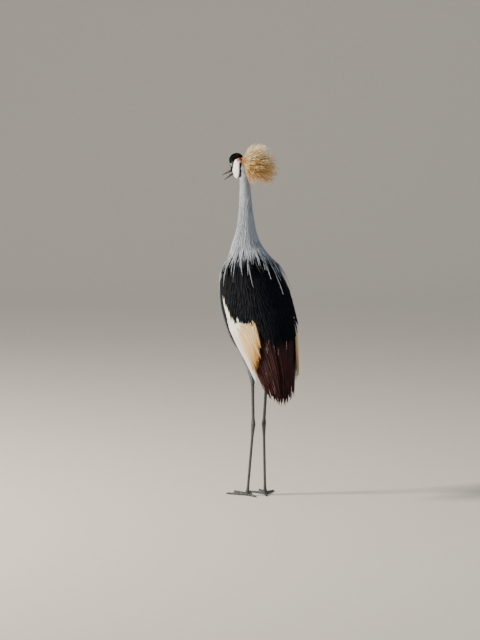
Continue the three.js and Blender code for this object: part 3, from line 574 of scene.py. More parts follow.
# %% The tree that covers a skin with blades
def covering_tree():
    tree, entry = new_tree("cover_skin_with_feathers", Skin="Geometry", Feather="Object", Finish="Material",
                           Zone="String", Spacing="Float", Lift="Float", Ruffle="Float", Seed="Int")
    # The roots: scattered where the zone is 1, each keeping its own place for the map for baking
    zone = add(tree, "GeometryNodeInputNamedAttribute", {"Name": entry.outputs["Zone"]}, data_type="FLOAT")
    grown = add(tree, "GeometryNodeDistributePointsOnFaces",
                {"Mesh": entry.outputs["Skin"], "Distance Min": entry.outputs["Spacing"], "Density Max": 1e6,
                 "Density Factor": zone.outputs[0], "Seed": entry.outputs["Seed"]},
                distribute_method="POISSON")
    spot = add(tree, "GeometryNodeInputPosition")
    rooted = add(tree, "GeometryNodeStoreNamedAttribute",
                 {"Geometry": grown.outputs["Points"], "Name": "root", "Value": spot.outputs[0]},
                 data_type="FLOAT_VECTOR", domain="POINT")
    # How each blade lies: along the skin, its tip lifted, and swayed a little to one side
    lie = add(tree, "GeometryNodeInputNamedAttribute", {"Name": "lie"}, data_type="FLOAT_VECTOR")
    facing = add(tree, "FunctionNodeAxesToRotation",
                 {"Primary Axis": grown.outputs["Normal"], "Secondary Axis": lie.outputs[0]},
                 primary_axis="Z", secondary_axis="Y")
    back = add(tree, "ShaderNodeMath", {0: entry.outputs["Ruffle"], 1: -1.0}, operation="MULTIPLY")
    sway = add(tree, "FunctionNodeRandomValue",
               {2: back.outputs[0], 3: entry.outputs["Ruffle"], "Seed": entry.outputs["Seed"]},
               data_type="FLOAT")
    tip_up = add(tree, "ShaderNodeCombineXYZ", {0: entry.outputs["Lift"], 2: sway.outputs[1]})
    turned = add(tree, "FunctionNodeEulerToRotation", {0: tip_up.outputs[0]})
    laid = add(tree, "FunctionNodeRotateRotation", {0: facing.outputs[0], 1: turned.outputs[0]},
               rotation_space="LOCAL")
    size = add(tree, "GeometryNodeInputNamedAttribute", {"Name": "size"}, data_type="FLOAT_VECTOR")
    source = add(tree, "GeometryNodeObjectInfo", {"Object": entry.outputs["Feather"]})
    spread = add(tree, "GeometryNodeInstanceOnPoints",
                 {"Points": rooted.outputs[0], "Instance": source.outputs["Geometry"],
                  "Rotation": laid.outputs[0], "Scale": size.outputs[0]})
    finish_tree(tree, spread.outputs[0], entry)
    return tree


COVERING = covering_tree()
print("tree:", COVERING.name, len(COVERING.nodes), "nodes")

# %% [markdown]
# The skin has to know where each of its points is on the bird. The nearest place on the midline gives the
# station and the angle, and a point that lies outside the body's own oval there belongs to a thigh. The way
# the feathers lie is the way a place moves when its station grows: from the head to the tail.

# %% Where a point is on the bird
nearby = KDTree(len(LINE))
for i, (y, z) in enumerate(LINE):
    nearby.insert((0, y, z), i)
nearby.balance()


def station_and_angle(points):
    """Station, angle and share of the coat's radius, of points in metres."""
    mm = np.asarray(points, float) * 1000
    mm[:, :2] += CENTRE
    found = np.array([nearby.find((0, p[1], p[2]))[1] for p in mm])
    away = mm[:, 1:] - LINE[found]
    past = (away * HEADING[found]).sum(1)
    station = LINE_AT[found] + past
    depth = away[:, 0] * HEADING[found, 1] - away[:, 1] * HEADING[found, 0]
    wide = (mm[:, 0] - SWAY(station)) / COAT["width"](station)
    deep = depth / np.where(depth >= 0, COAT["back"](station), COAT["belly"](station))
    return station, np.degrees(np.arctan2(wide, deep)), np.hypot(wide, deep)


def is_thigh(station, radius, z):
    """Points that stand out from the body's own oval, behind the breast and below the back."""
    return (radius > 1.06) & (z < 0.5) & (station > 300)


print("places on the midline to search:", len(LINE))

# %% Numbers of a mesh's points, read and written
def coords(mesh):
    out = np.empty(len(mesh.vertices) * 3)
    mesh.vertices.foreach_get("co", out)
    return out.reshape(-1, 3)


def stored(mesh, name):
    """A vector that each point of the mesh carries."""
    out = np.empty(len(mesh.vertices) * 3)
    mesh.attributes[name].data.foreach_get("vector", out)
    return out.reshape(-1, 3)


def store(mesh, name, values):
    values = np.asarray(values, float)
    kind = "FLOAT" if values.ndim == 1 else "FLOAT_VECTOR"
    made = mesh.attributes.get(name) or mesh.attributes.new(name, kind, "POINT")
    made.data.foreach_set("value" if values.ndim == 1 else "vector", values.ravel())


skin_at = coords(skin.data)
station, angle, radius = station_and_angle(skin_at)
head_mm = off_head(skin_at)
print("skin stations from", round(station.min()), "to", round(station.max()))

# %% Which way the feathers lie
NECK_END = 205  # the station where the neck's small feathers end
on_thigh = is_thigh(station, radius, skin_at[:, 2])
on_skull = (station < 2) & ~on_thigh
on_neck = ~on_thigh & ~on_skull & (station < NECK_END)
on_body = ~(on_thigh | on_skull | on_neck)

lie = place(station + 3, angle, 0) - place(station - 3, angle, 0)
round_nape = np.radians(np.clip((8 - head_mm[:, 1]) * 2.6, 0, 90))
over_skull = np.stack([0 * round_nape, -np.cos(round_nape), -np.sin(round_nape)], 1)
lie[on_skull] = (over_skull @ np.array(HEAD.to_3x3()).T)[on_skull]
lie[on_thigh] = (0, -0.15, -1)
lie /= np.linalg.norm(lie, axis=1)[:, None]
store(skin.data, "lie", lie)
print("skin points on neck, body, thighs:", on_neck.sum(), on_body.sum(), on_thigh.sum())

# %% How large the feathers are, in millimetres
down_neck, up_thigh = ramp(20, NECK_END, station), ramp(360, 470, skin_at[:, 2] * 1000)
long_mm = np.where(on_neck, 8 + 14 * down_neck, 27)
long_mm = np.where(on_thigh, 10 + 14 * up_thigh, long_mm)
wide_mm = np.where(on_neck, 2.3 + 2.4 * down_neck, 9)
wide_mm = np.where(on_thigh, 3.5 + 4 * up_thigh, wide_mm)
on_nape = on_skull & (head_mm[:, 1] < -19 - 0.25 * (head_mm[:, 2] + 40)) & (head_mm[:, 2] < 4)
long_mm, wide_mm = np.where(on_skull, 4.6, long_mm), np.where(on_skull, 1.5, wide_mm)
long_mm, wide_mm = np.where(on_nape, 7, long_mm), np.where(on_nape, 2.2, wide_mm)
thick_mm = np.where(on_skull | on_neck, 0.45, 0.7)
store(skin.data, "size", np.stack([wide_mm, long_mm, thick_mm], 1) / 1000)
print("feathers from", long_mm.min(), "to", long_mm.max(), "mm long")

# %% Where the feathers grow
BARE_SPOT, BARE_RADIUS = (17.5, 12, 3.5), 8  # round each eye, in the head's own millimetres
THIGH_LOW = 0.349  # the height, in metres, at which the thigh's feathers end
either_side = np.stack([np.abs(head_mm[:, 0]), head_mm[:, 1], head_mm[:, 2]], 1)
near_eye = np.linalg.norm(either_side - BARE_SPOT, axis=1) < BARE_RADIUS
under_wings = (np.abs(angle) < 96) & (station > 300) & (station < 585)
store(skin.data, "head_zone", on_skull & ~near_eye & ~on_nape & (head_mm[:, 1] < 27))
store(skin.data, "neck_zone", on_neck | on_nape)
store(skin.data, "body_zone", on_body & ~under_wings & (station < 612))
store(skin.data, "thigh_zone", on_thigh & (skin_at[:, 2] > THIGH_LOW))
print("skin points near the eyes:", near_eye.sum(), "under the wings:", under_wings.sum())

# %% [markdown]
# A vane is made of barbs that leave the shaft at a slant, a few to the millimetre, and that is what gives a
# feather its satin. They are finer than a render of the whole bird can show, so they are drawn about a
# millimetre apart. One function makes a feather's finish from its colours, and every feather varies a little
# in lightness, as real ones do with wear.

# %% A feather's finish
def feather_finish(name, root, tip, edge, sheen=0.3, rough=0.62, barb_mm=1.1, length_mm=60, width_mm=10,
                   vary=0.12, gloss=0.25):
    made, tree = new_material(name)
    own = add(tree, "ShaderNodeUVMap", uv_map="Feather")
    parts = add(tree, "ShaderNodeSeparateXYZ", {0: own.outputs["UV"]})
    # The barbs: slanted lines, as a wave along the feather that lags behind towards its edges
    aside = add(tree, "ShaderNodeMath", {0: parts.outputs["X"], 1: 0.5}, operation="SUBTRACT")
    aside = add(tree, "ShaderNodeMath", {0: aside.outputs[0]}, operation="ABSOLUTE")
    slant = add(tree, "ShaderNodeMath", {0: aside.outputs[0], 1: -width_mm * 1.5}, operation="MULTIPLY")
    barbs = add(tree, "ShaderNodeMath", {0: parts.outputs["Y"], 1: float(length_mm), 2: slant.outputs[0]},
                operation="MULTIPLY_ADD")
    barbs = add(tree, "ShaderNodeMath", {0: barbs.outputs[0], 1: 2 * math.pi / barb_mm}, operation="MULTIPLY")
    barbs = add(tree, "ShaderNodeMath", {0: barbs.outputs[0]}, operation="SINE")
    # The colours: from root to tip, and then towards the edge
    along = add(tree, "ShaderNodeMapRange", {"Value": parts.outputs["Y"], "From Min": 0.1, "From Max": 0.95})
    colour = add(tree, "ShaderNodeMix", {0: along.outputs[0], 6: linear(root), 7: linear(tip)},
                 data_type="RGBA")
    rim = add(tree, "ShaderNodeMapRange", {"Value": aside.outputs[0], "From Min": 0.28, "From Max": 0.5},
              interpolation_type="SMOOTHSTEP")
    colour = add(tree, "ShaderNodeMix", {0: rim.outputs[0], 6: colour.outputs[2], 7: linear(edge)},
                 data_type="RGBA")
    # The lightness: each feather's own, and the painted shade between two barbs
    tint = add(tree, "ShaderNodeAttribute", attribute_name="tint")
    lightness = add(tree, "ShaderNodeMapRange",
                    {"Value": tint.outputs["Fac"], "To Min": 1 - vary, "To Max": 1 + vary})
    groove = add(tree, "ShaderNodeMapRange",
                 {"Value": barbs.outputs[0], "From Min": -1.0, "To Min": 0.86, "To Max": 1.06})
    lightness = add(tree, "ShaderNodeMath", {0: lightness.outputs[0], 1: groove.outputs[0]},
                    operation="MULTIPLY")
    colour = add(tree, "ShaderNodeVectorMath", {0: colour.outputs[2], "Scale": lightness.outputs[0]},
                 operation="SCALE")
    bump = add(tree, "ShaderNodeBump", {"Height": barbs.outputs[0], "Strength": 0.25, "Distance": 0.0002})
    vane = add(tree, "ShaderNodeBsdfPrincipled",
               {"Base Color": colour.outputs[0], "Roughness": rough, "Normal": bump.outputs[0],
                "Sheen Weight": sheen, "Sheen Roughness": 0.5, "Specular IOR Level": gloss})
    add(tree, "ShaderNodeOutputMaterial", {"Surface": vane.outputs[0]})
    return made


# Short grey feathers of the neck: pale and soft, lighter at the tip
neck_finish = feather_finish("grey_neck_feather", "#7f8b99", "#b4bfcb", "#c3ccd6", length_mm=16, width_mm=4,
                             barb_mm=1.4)
# The body's contour feathers: a darker slate grey with a paler edge, so each one can be told from the next
body_finish = feather_finish("grey_contour_feather", "#444b52", "#5f676f", "#707981", length_mm=27,
                             width_mm=9)
# The thigh's feathers have the same greys and are smaller
thigh_finish = feather_finish("thigh_feather", "#444b52", "#5f676f", "#707981", length_mm=20, width_mm=6)
# The cap's velvet swallows light: black, rough, and with hardly any gloss
velvet_finish = feather_finish("black_velvet_feather", "#020203", "#040405", "#050507", sheen=0.0, rough=0.8,
                               length_mm=5, width_mm=2, gloss=0.08)
print("finishes:", len(bpy.data.materials))

# %% A map for baking
PATCH = 0.003  # how large one feather is on the map


def baking_map(mesh, across, along):
    """OFBake: each feather is a small patch at its root's place on the unwrapped skin, both from 0 to 1."""
    corners = np.empty(len(mesh.loops), int)
    mesh.loops.foreach_get("vertex_index", corners)
    own = np.empty(len(mesh.loops) * 2)
    mesh.uv_layers["Feather"].data.foreach_get("uv", own)
    root = 0.01 + 0.975 * np.stack([across, along], 1)[corners]
    made = mesh.uv_layers.new(name="OFBake")
    made.data.foreach_set("uv", (root + PATCH * own.reshape(-1, 2)).ravel())


def unwrapped(points):
    """Places on the unwrapped skin: the body to the left, the head and the two thighs to the right of it."""
    each, which = np.unique(np.round(points, 5), axis=0, return_inverse=True)
    station, angle, radius = station_and_angle(each)
    across, along = 0.6 * (angle / 360 + 0.5), np.clip(station / 800, 0, 1)
    mm = off_head(each)
    skull = station < 2
    across = np.where(skull, 0.8 + 0.19 * np.arctan2(mm[:, 0], mm[:, 2] + 12) / math.pi, across)
    along = np.where(skull, 0.25 + 0.2 * np.clip(-mm[:, 1] / 40, -1, 1), along)
    thigh = is_thigh(station, radius, each[:, 2])
    left = each[:, 0] < 0
    round_thigh = np.arctan2(each[:, 0] - np.where(left, -0.030, 0.034), each[:, 1] + 0.003) / math.pi
    across = np.where(thigh, np.where(left, 0.7, 0.9) + 0.09 * round_thigh, across)
    along = np.where(thigh, 0.55 + 0.4 * (0.5 - each[:, 2]) / 0.16, along)
    return np.clip(across, 0, 1)[which.ravel()], np.clip(along, 0, 1)[which.ravel()]


print("a feather's patch on the map is", PATCH, "across")

# %% Covering the skin
EDGE = math.radians(50)  # a blade's thin edge stays an edge


def grow(name, feather, finish, zone, spacing, lift, ruffle, seed, slot):
    """Blades on one zone of the skin; spacing is in metres, lift and ruffle in radians."""
    made = shown(name, skin.data.copy())
    mesh = run_tree(made, COVERING, Feather=feather, Finish=finish, Zone=zone, Spacing=spacing, Lift=lift,
                    Ruffle=ruffle, Seed=seed)
    mesh.set_sharp_from_angle(angle=EDGE)
    baking_map(mesh, *unwrapped(stored(mesh, "root")))
    put_on_bird(made, slot)
    print(name, sum(len(face.vertices) - 2 for face in mesh.polygons), "triangles")


grow("neck_coat", streak_blade, neck_finish, "neck_zone", 0.0022, 0.10, 0.12, 3, "neck_grey")
grow("body_coat", small_blade, body_finish, "body_zone", 0.0062, 0.09, 0.14, 4, "body_grey")
grow("thigh_coat", small_blade, thigh_finish, "thigh_zone", 0.0034, 0.12, 0.16, 5, "body_grey")
grow("head_coat", streak_blade, velvet_finish, "head_zone", 0.0012, 0.45, 0.3, 6, "black_plumage")

# %% [markdown]
# The long feathers of the neck's base, back, wings and tail bend with the body, so a stiff copy of a blade
# won't do. They are first laid on a flat map of the coat, where up is the station and across is the distance
# round the bird. A second Geometry Nodes tree lays one blade at each given root. The finished map is then
# wrapped on the bird with the same rule of stations, angles and heights that made the solids.

# %% The tree that lays blades at given roots
def laying_tree():
    tree, entry = new_tree("lay_blades_at_roots", Roots="Geometry", Feather="Object", Finish="Material",
                           Ruffle="Vector", Seed="Int")
    heading = add(tree, "GeometryNodeInputNamedAttribute", {"Name": "turn"}, data_type="FLOAT_VECTOR")
    size = add(tree, "GeometryNodeInputNamedAttribute", {"Name": "size"}, data_type="FLOAT_VECTOR")
    back = add(tree, "ShaderNodeVectorMath", {0: entry.outputs["Ruffle"], "Scale": -1.0}, operation="SCALE")
    sway = add(tree, "FunctionNodeRandomValue",
               {0: back.outputs[0], 1: entry.outputs["Ruffle"], "Seed": entry.outputs["Seed"]},
               data_type="FLOAT_VECTOR")
    first = add(tree, "FunctionNodeEulerToRotation", {0: heading.outputs[0]})
    then = add(tree, "FunctionNodeEulerToRotation", {0: sway.outputs[0]})
    laid = add(tree, "FunctionNodeRotateRotation", {0: first.outputs[0], 1: then.outputs[0]},
               rotation_space="LOCAL")
    source = add(tree, "GeometryNodeObjectInfo", {"Object": entry.outputs["Feather"]})
    spread = add(tree, "GeometryNodeInstanceOnPoints",
                 {"Points": entry.outputs["Roots"], "Instance": source.outputs["Geometry"],
                  "Rotation": laid.outputs[0], "Scale": size.outputs[0]})
    finish_tree(tree, spread.outputs[0], entry)
    return tree


LAYING = laying_tree()
print("tree:", LAYING.name, len(LAYING.nodes), "nodes")

# %% Laying blades
def lay(name, roots, turns, sizes, home, feather, finish, ruffle, seed):
    """One blade at each root, turned and sized; each point of it keeps its root's home."""
    made = shown(name, bpy.data.meshes.new(name))
    made.data.from_pydata(np.asarray(roots, float).tolist(), [], [])
    for label, values in {"turn": turns, "size": sizes, "home": home}.items():
        store(made.data, label, values)
    run_tree(made, LAYING, Feather=feather, Finish=finish, Ruffle=ruffle, Seed=seed)
    return made


def set_points(mesh, points):
    """The mesh with its points moved, its faces turned outward and its edges sharp."""
    mesh.vertices.foreach_set("co", points.ravel())
    outward(mesh, weld=False).set_sharp_from_angle(angle=EDGE)


print("helpers for laying ready")

# %% Wrapping the map on the bird
def wrap(name, rows, feather, finish, height, slot, nodes, ruffle, seed):
    """rows: station and angle of the root, station and angle of the tip, width and thickness in mm."""
    s0, a0, s1, a1, wide, thick = np.array(rows, float).T
    degree = np.linalg.norm(place(s0, a0 + 1, 0) - place(s0, a0, 0), axis=1) * 1000
    run, aside = s1 - s0, (a1 - a0) * degree
    turns = np.stack([0 * run, 0 * run, -np.arctan2(aside, run)], 1)
    span = np.stack([wide, np.hypot(run, aside), thick], 1)
    home, roots = np.stack([s0, a0, degree], 1), np.stack([a0 * degree, s0, 0 * s0], 1)
    made = lay(name, roots, turns, span, home, feather, finish, (0, 0, ruffle), seed)
    at = coords(made.data)
    s0, a0, degree = stored(made.data, "home").T
    station = at[:, 1]
    angle = a0 + (at[:, 0] - a0 * degree) / degree
    set_points(made.data, place(station, angle, height(station, angle, s0, a0) + at[:, 2]))
    baking_map(made.data, (a0 + 180) / 360 % 1, s0 / 800)
    put_on_bird(made, slot, *nodes)
    print(name, len(run), "feathers,", len(made.data.polygons), "faces")


rng = np.random.default_rng(11)
print("one row of random numbers serves all laid feathers")

# %% [markdown]
# What lies under the back feathers decides their height: the mantle, the folded wings at the sides and the
# wing feathers behind. These heights are the solids' own. Solid beds fill the room under the long feathers,
# as the packed down and the wing itself do on the bird, so that no gap between two feathers looks hollow.

# %% Heights over the coat
# Stations where the shoulder, the cape and the wing begin, where the wing ends, and the cape's tier to tier
SHOULDER, CAPE_FRONT, WRIST, WING_REAR, CAPE_STEP = 216, 246, 262, 486, 40


def under(station, angle):
    side = np.abs(angle)
    mantle = 4.6 * ramp(SHOULDER, CAPE_FRONT, station) * (1 - ramp(60, 70, side))
    wing = 15 * ramp(CAPE_FRONT, CAPE_FRONT + CAPE_STEP, station) * ramp(42, 70, side)
    wing = wing * (1 - ramp(107, 122, side))
    return np.maximum(np.maximum(mantle, wing), 10.8 * ramp(WING_REAR - CAPE_STEP, WING_REAR, station))


def cape_top(station, angle):
    stack = 2.5 * ramp(SHOULDER, CAPE_FRONT, station) + 0.05 * np.maximum(0, station - CAPE_FRONT)
    return under(station, angle) + stack * (1 - ramp(82, 94, np.abs(angle)))


def covert_bed(station, angle):
    edge = 1 - 0.6 * smooth(94, 106, np.abs(angle))
    rise = smooth(WRIST, WRIST + 44, station) * smooth(46, 62, np.abs(angle))
    return (1.5 + 8 * rise + 3.5 * ramp(450, WING_REAR, station)) * edge


print("the cape lies", round(float(cape_top(400, 0)), 1), "mm over the coat at station 400")

# %% The beds under the feathers
def down_finish(name, dark, light):
    """Packed down, the short fluff at the foot of a feather: soft, matt and a little mottled."""
    made, tree = new_material(name)
    at = add(tree, "ShaderNodeTexCoord")
    # tufts of down are about 2.5 mm across
    tufts = add(tree, "ShaderNodeTexNoise", {"Vector": at.outputs["Object"], "Scale": 400.0, "Detail": 4.0})
    tone = add(tree, "ShaderNodeValToRGB", {"Fac": tufts.outputs["Fac"]})
    tone.color_ramp.elements[0].color = linear(dark)
    tone.color_ramp.elements[1].color = linear(light)
    bump = add(tree, "ShaderNodeBump", {"Height": tufts.outputs["Fac"], "Strength": 0.6, "Distance": 0.001})
    soft = add(tree, "ShaderNodeBsdfPrincipled",
               {"Base Color": tone.outputs["Color"], "Roughness": 0.95, "Sheen Weight": 0.3,
                "Normal": bump.outputs[0]})
    add(tree, "ShaderNodeOutputMaterial", {"Surface": soft.outputs["BSDF"]})
    return made


def bed(name, stations, angles, top, finish, slot, depth=2.5):
    """A closed slab on the coat, between two stations and two angles, up to the given height."""
    s, a = np.meshgrid(stations, angles, indexing="ij")
    upper = place(s, a, top(s, a))
    lower = place(s, a, -depth + 0 * s)
    rows, columns = s.shape
    points = np.vstack([upper.reshape(-1, 3), lower.reshape(-1, 3)])
    at = np.arange(rows * columns).reshape(rows, columns)
    a, b, c, d = at[:-1, :-1].ravel(), at[:-1, 1:].ravel(), at[1:, 1:].ravel(), at[1:, :-1].ravel()
    half = rows * columns
    faces = np.vstack([np.stack([a, b, c, d], 1), np.stack([a, d, c, b], 1) + half])
    rim = np.concatenate([at[0, :-1], at[:-1, -1], at[-1, :0:-1], at[:0:-1, 0]])
    after = np.roll(rim, -1)
    faces = np.vstack([faces, np.stack([rim, rim + half, after + half, after], 1)])
    mesh = bpy.data.meshes.new(name)
    mesh.from_pydata(points.tolist(), [], faces.tolist())
    made = shown(name, outward(mesh))
    made.data.materials.append(finish)
    put_on_bird(made, slot)


print("helpers for beds ready")

# %% The beds in their places
# Down in the colour of the feathers over it, so that a gap between them shows only more of the same
slate_down = down_finish("slate_down", "#08090c", "#14171c")
white_down = down_finish("white_down", "#cfccc4", "#efece5")
brown_down = down_finish("brown_down", "#1a0b0b", "#2a1412")
grey_down = down_finish("grey_flank_down", "#41484f", "#596069")
bed("mantle_bed", np.linspace(218, 500, 60), np.linspace(-50, 50, 41), lambda s, a: under(s, a) - 0.8,
    slate_down, "slate_plumage")
for side, name in [(-1, "left"), (1, "right")]:
    bed(f"wing_bed_{name}", np.linspace(262, 492, 60), side * np.linspace(50, 107, 31),
        lambda s, a: covert_bed(s, a) - 0.6, white_down, "white_plumage")
bed("rear_bed", np.linspace(480, 650, 40), np.linspace(-88, 88, 45), lambda s, a: 1.2 - 3 * ramp(600, 650, s),
    brown_down, "chestnut_plumage", depth=6)
print("beds laid")

# %% [markdown]
# The cape is made of the long dark feathers of the back and shoulders. They hang in tiers that spread over
# the wings, each one a slender blade. The blades lie close, so that the cape looks like one dark cloth with
# feather edges in it, and its lower edge is ragged.

# %% The cape
# Slate-black keratin with a blue edge: hardly any gloss, so the cape stays one dark cloth
cape_finish = feather_finish("slate_cape_feather", "#04060a", "#080b12", "#141c28", sheen=0.0, rough=0.55,
                             length_mm=130, width_mm=16, vary=0.25, gloss=0.07)
# For each tier: how far round the first feathers stand, how far round their tips on the left and the right,
# how long they are, and how much shorter at the left and the right
CAPE_TIERS = [(68, 88, 94, 120, 0, 0), (58, 77, 86, 126, 0, 0), (50, 74, 80, 130, 0, 0),
              (43, 68, 72, 134, 10, 0), (42, 50, 63, 142, 46, 10), (42, 38, 50, 152, 76, 36)]


def cape_rows():
    rows = []
    for row in np.arange(0, 5.01, 0.25):
        tier = [np.interp(row, range(len(CAPE_TIERS)), column) for column in zip(*CAPE_TIERS)]
        root_half, tip_left, tip_right, length, left, right = tier
        count = int(root_half * 0.58) - int(row * 4) % 2
        for i in range(count):
            share = 2 * i / (count - 1) - 1
            outer = abs(share) ** 1.3
            reach = (length - outer * (left if share < 0 else right)) * rng.normal(1, 0.03)
            root = CAPE_FRONT + row * CAPE_STEP + rng.normal(0, 1.5)
            aside = share * root_half + rng.normal(0, 0.3)
            tip = share * (tip_left if share < 0 else tip_right)
            rows.append((root, aside, root + reach, tip, rng.uniform(15, 20), 0.7))
    return rows


def from_root(station, root, rise, sunk):
    """A feather rises from 2 mm behind its root on; before that it is sunk into what lies below it."""
    return np.where(station > root + 2, rise, sunk)


def cape_height(station, angle, root, root_angle):
    fold = from_root(station, root, 0.8 + 0.034 * (station - root), -1.5)
    return under(station, angle) + fold + (root - 346) * 0.003 + 0.35 * np.sin(root_angle * 9.1)


wrap("cape", cape_rows(), long_blade, cape_finish, cape_height, "slate_plumage", ["mantle"], 0.03, 21)

# %% [markdown]
# At the base of the neck the feathers grow long and lax. They are narrow lances that fan out over the
# shoulders and hang down the breast, pale grey against the dark cape.

# %% The pale hackles
# Loose-barbed grey lances: the barbs don't hook together, so they look soft, pale at the edge
hackle_finish = feather_finish("pale_hackle", "#98a4b1", "#b4bfcb", "#cdd5dd", sheen=0.2, length_mm=80,
                               width_mm=4, barb_mm=2, vary=0.2)
IN_RING = 36  # lances round the neck at one station, before some are left out
WISPS = 44  # single longer lances, over both shoulders


def pale_hackle_rows():
    rows = []
    for root in np.arange(45, 208, 2.9):
        for i in range(IN_RING):
            angle = (i + rng.uniform(0, 1)) * 360 / IN_RING - 180
            if rng.uniform() > 0.06 + 0.94 * float(smooth(60, 150, root)):
                continue
            grown = float(ramp(60, 190, root))
            reach = (18 + 70 * grown) * rng.uniform(0.5, 1.0) * (1 + 0.3 * float(ramp(120, 170, abs(angle))))
            width = rng.uniform(1.6, 2.2 + 1.2 * grown)
            if root > 140 and rng.uniform() < 0.33:
                longer = 1.4 + 1.1 * rng.uniform() * float(1 - ramp(60, 110, abs(angle)))
                reach, width = reach * longer, rng.uniform(1.0, 1.6)
            start = root + rng.normal(0, 1.5)
            rows.append((start, angle, start + reach, angle * 1.01 + rng.normal(0, 1), width, 0.5))
    for i in range(WISPS):
        side = -1 if i % 2 else 1
        start, angle = rng.uniform(165, 205), side * rng.uniform(62, 108)
        end, tip = start + rng.uniform(70, 115), angle + side * rng.uniform(2, 9)
        rows.append((start, angle, end, tip, rng.uniform(1.0, 1.6), 0.45))
    return rows


def hackle_height(station, angle, root, root_angle):
    own = 0.3 + 0.03 * (station - root) + 0.9 * np.abs(np.sin(root_angle * 5.3 + root))
    lift = (0.15 + 0.95 * ramp(90, 160, root)) * own
    return cape_top(station, angle) + from_root(station, root, lift, -2.0)


wrap("hackles", pale_hackle_rows(), long_blade, hackle_finish, hackle_height, "neck_grey", ["neck_base"],
     0.05, 22)

# %% The dark hackles
# Further down the lances turn to slate, and only their edges and shafts stay grey
dark_hackle_finish = feather_finish("slate_hackle", "#59636f", "#07090e", "#4c5663", sheen=0.0, rough=0.5,
                                    length_mm=110, width_mm=5, barb_mm=2, vary=0.5, gloss=0.15)


def dark_hackle_rows():
    rows = []
    for root in np.arange(186, 232, 2.3):
        count = 34
        for i in range(count):
            angle = (i + rng.uniform(0, 1)) * 360 / count - 180
            if abs(angle) > 140 and root > 190:
                continue
            full = 112 - 34 * float(ramp(40, 100, abs(angle)))
            reach = full * rng.uniform(0.5, 1.0)
            start = root + rng.normal(0, 1.5)
            tip = angle * 1.03 + rng.normal(0, 1.5)
            rows.append((start, angle, start + reach, tip, rng.uniform(2.2, 4.2), 0.5))
    return rows


def dark_hackle_height(station, angle, root, root_angle):
    loose = 0.05 * np.maximum(0, station - root - 40) * np.sin(root * 3.7) ** 2
    return hackle_height(station, angle, root, root_angle) - 1.4 + loose


wrap("dark_hackles", dark_hackle_rows(), long_blade, dark_hackle_finish, dark_hackle_height, "neck_grey",
     ["neck_base"], 0.09, 23)

# %% [markdown]
# The folded wing is made in layers. White coverts lie at the shoulder in rows. Below them hang the loose
# plumes, gold inside and white along the outer edge. The chestnut secondaries run back over the tail, the
# black primaries show at the lower edge, and grey flank feathers close the gap to the belly.

# %% The wing's finishes
# White feathers hold no pigment, and their fine barbs scatter nearly all the light
covert_finish = feather_finish("white_covert", "#e9e6df", "#f6f4ef", "#fbfaf7", sheen=0.15, length_mm=70,
                               width_mm=13, vary=0.04)
# The plumes hang loose like straw, nearly white at the root and gold below
plume_finish = feather_finish("golden_plume", "#ecd3a2", "#d5a257", "#e6c588", sheen=0.15, length_mm=160,
                              width_mm=6, vary=0.15)
# Deep red-brown, nearly black in the shade, with a silky surface
secondary_finish = feather_finish("chestnut_secondary", "#1a0707", "#2f0e0d", "#461815", sheen=0.03,
                                  rough=0.5, length_mm=240, width_mm=14, vary=0.4, gloss=0.2)
# Slate-grey body feathers, made a little darker than those of the breast as painted shade under the folded
# wing
shaded_flank_finish = feather_finish("slate_flank_feather", "#3a4047", "#565d65", "#676f78", sheen=0.1,
                              length_mm=34, width_mm=9, gloss=0.15)
# Flight feathers full of black pigment, which makes them hard: a tight vane with a faint, even gloss
primary_finish = feather_finish("black_primary", "#050506", "#09090b", "#101014", sheen=0.0, length_mm=240,
                                width_mm=16, gloss=0.15)
print("finishes:", len(bpy.data.materials))

# %% The rows of coverts
def covert_rows(side):
    rows = []
    for tier, root in enumerate(np.arange(264, 462, 9)):
        for i in range(14):
            angle = 51 + 3.95 * (i + (tier % 2) / 2) + rng.normal(0, 0.35)
            length = 44 + 34 * float(ramp(264, 420, root)) + rng.normal(0, 2)
            rows.append((root, side * angle, root + length, side * (angle + (86 - angle) * 0.08), 12.5, 0.6))
    return rows


def covert_height(station, angle, root, root_angle):
    return covert_bed(station, angle) + from_root(station, root, 0.4 + 0.03 * (station - root), -1.2)


print("the root of a covert lies at", round(float(covert_height(264, 60, 264, 60)), 2), "mm")

# %% [markdown]
# The plumes are the loose feathers that hang from the coverts over the folded wing. They could be one ruffled
# sheet, but single narrow blades let the light and the layer below show between them. Each wing has its own
# first angle, because the cape hides more of the right one in the photograph's view.

# %% The plumes
# How far down the wing a plume reaches, by its angle; the outermost ones, from WHITE_FROM on, are white

PLUME_REACH = through((30, 566), (38, 594), (47, 620), (55, 637), (72, 662), (90, 668), (106, 652))
PLUME_TOP = {-1: 30, 1: 58}  # how near to the back the plumes of each wing begin, in degrees
PLUME_EDGE, WHITE_FROM, GOLD_START = 104, 70, 512  # two angles, and the station where the gold begins


def plume_rows(side, white):
    """The plumes of one wing: the outermost are white, the others are gold."""
    rows = []
    for tier, root in enumerate(np.arange(452, 512, 6)):
        count = 34 if side < 0 else 24
        for i in range(count):
            angle = PLUME_TOP[side] + (PLUME_EDGE - PLUME_TOP[side]) * (i + rng.uniform(0.2, 0.8)) / count
            reach = float(PLUME_REACH(angle)) + rng.normal(0, 8) - 24 * (9 - tier) / 9
            if (angle > WHITE_FROM + rng.normal(0, 1.5)) != white:
                continue
            start = max(root, GOLD_START) + rng.uniform(-10, 26) if angle < WHITE_FROM else root
            tip = angle + 13 * float(smooth(50, 76, angle) - smooth(92, 104, angle))
            end = max(reach, start + 30)
            rows.append((start, side * angle, end, side * tip, rng.uniform(2.8, 4.4), 0.5))
    return rows


def plume_height(station, angle, root, root_angle):
    tuck = 1 - smooth(94, 108, np.abs(root_angle))
    own = np.abs(root_angle * 7.3) % 2.4
    return 2.5 + (9.5 + (root - 452) * 0.04) * tuck + own + 6 * ramp(560, 720, station)

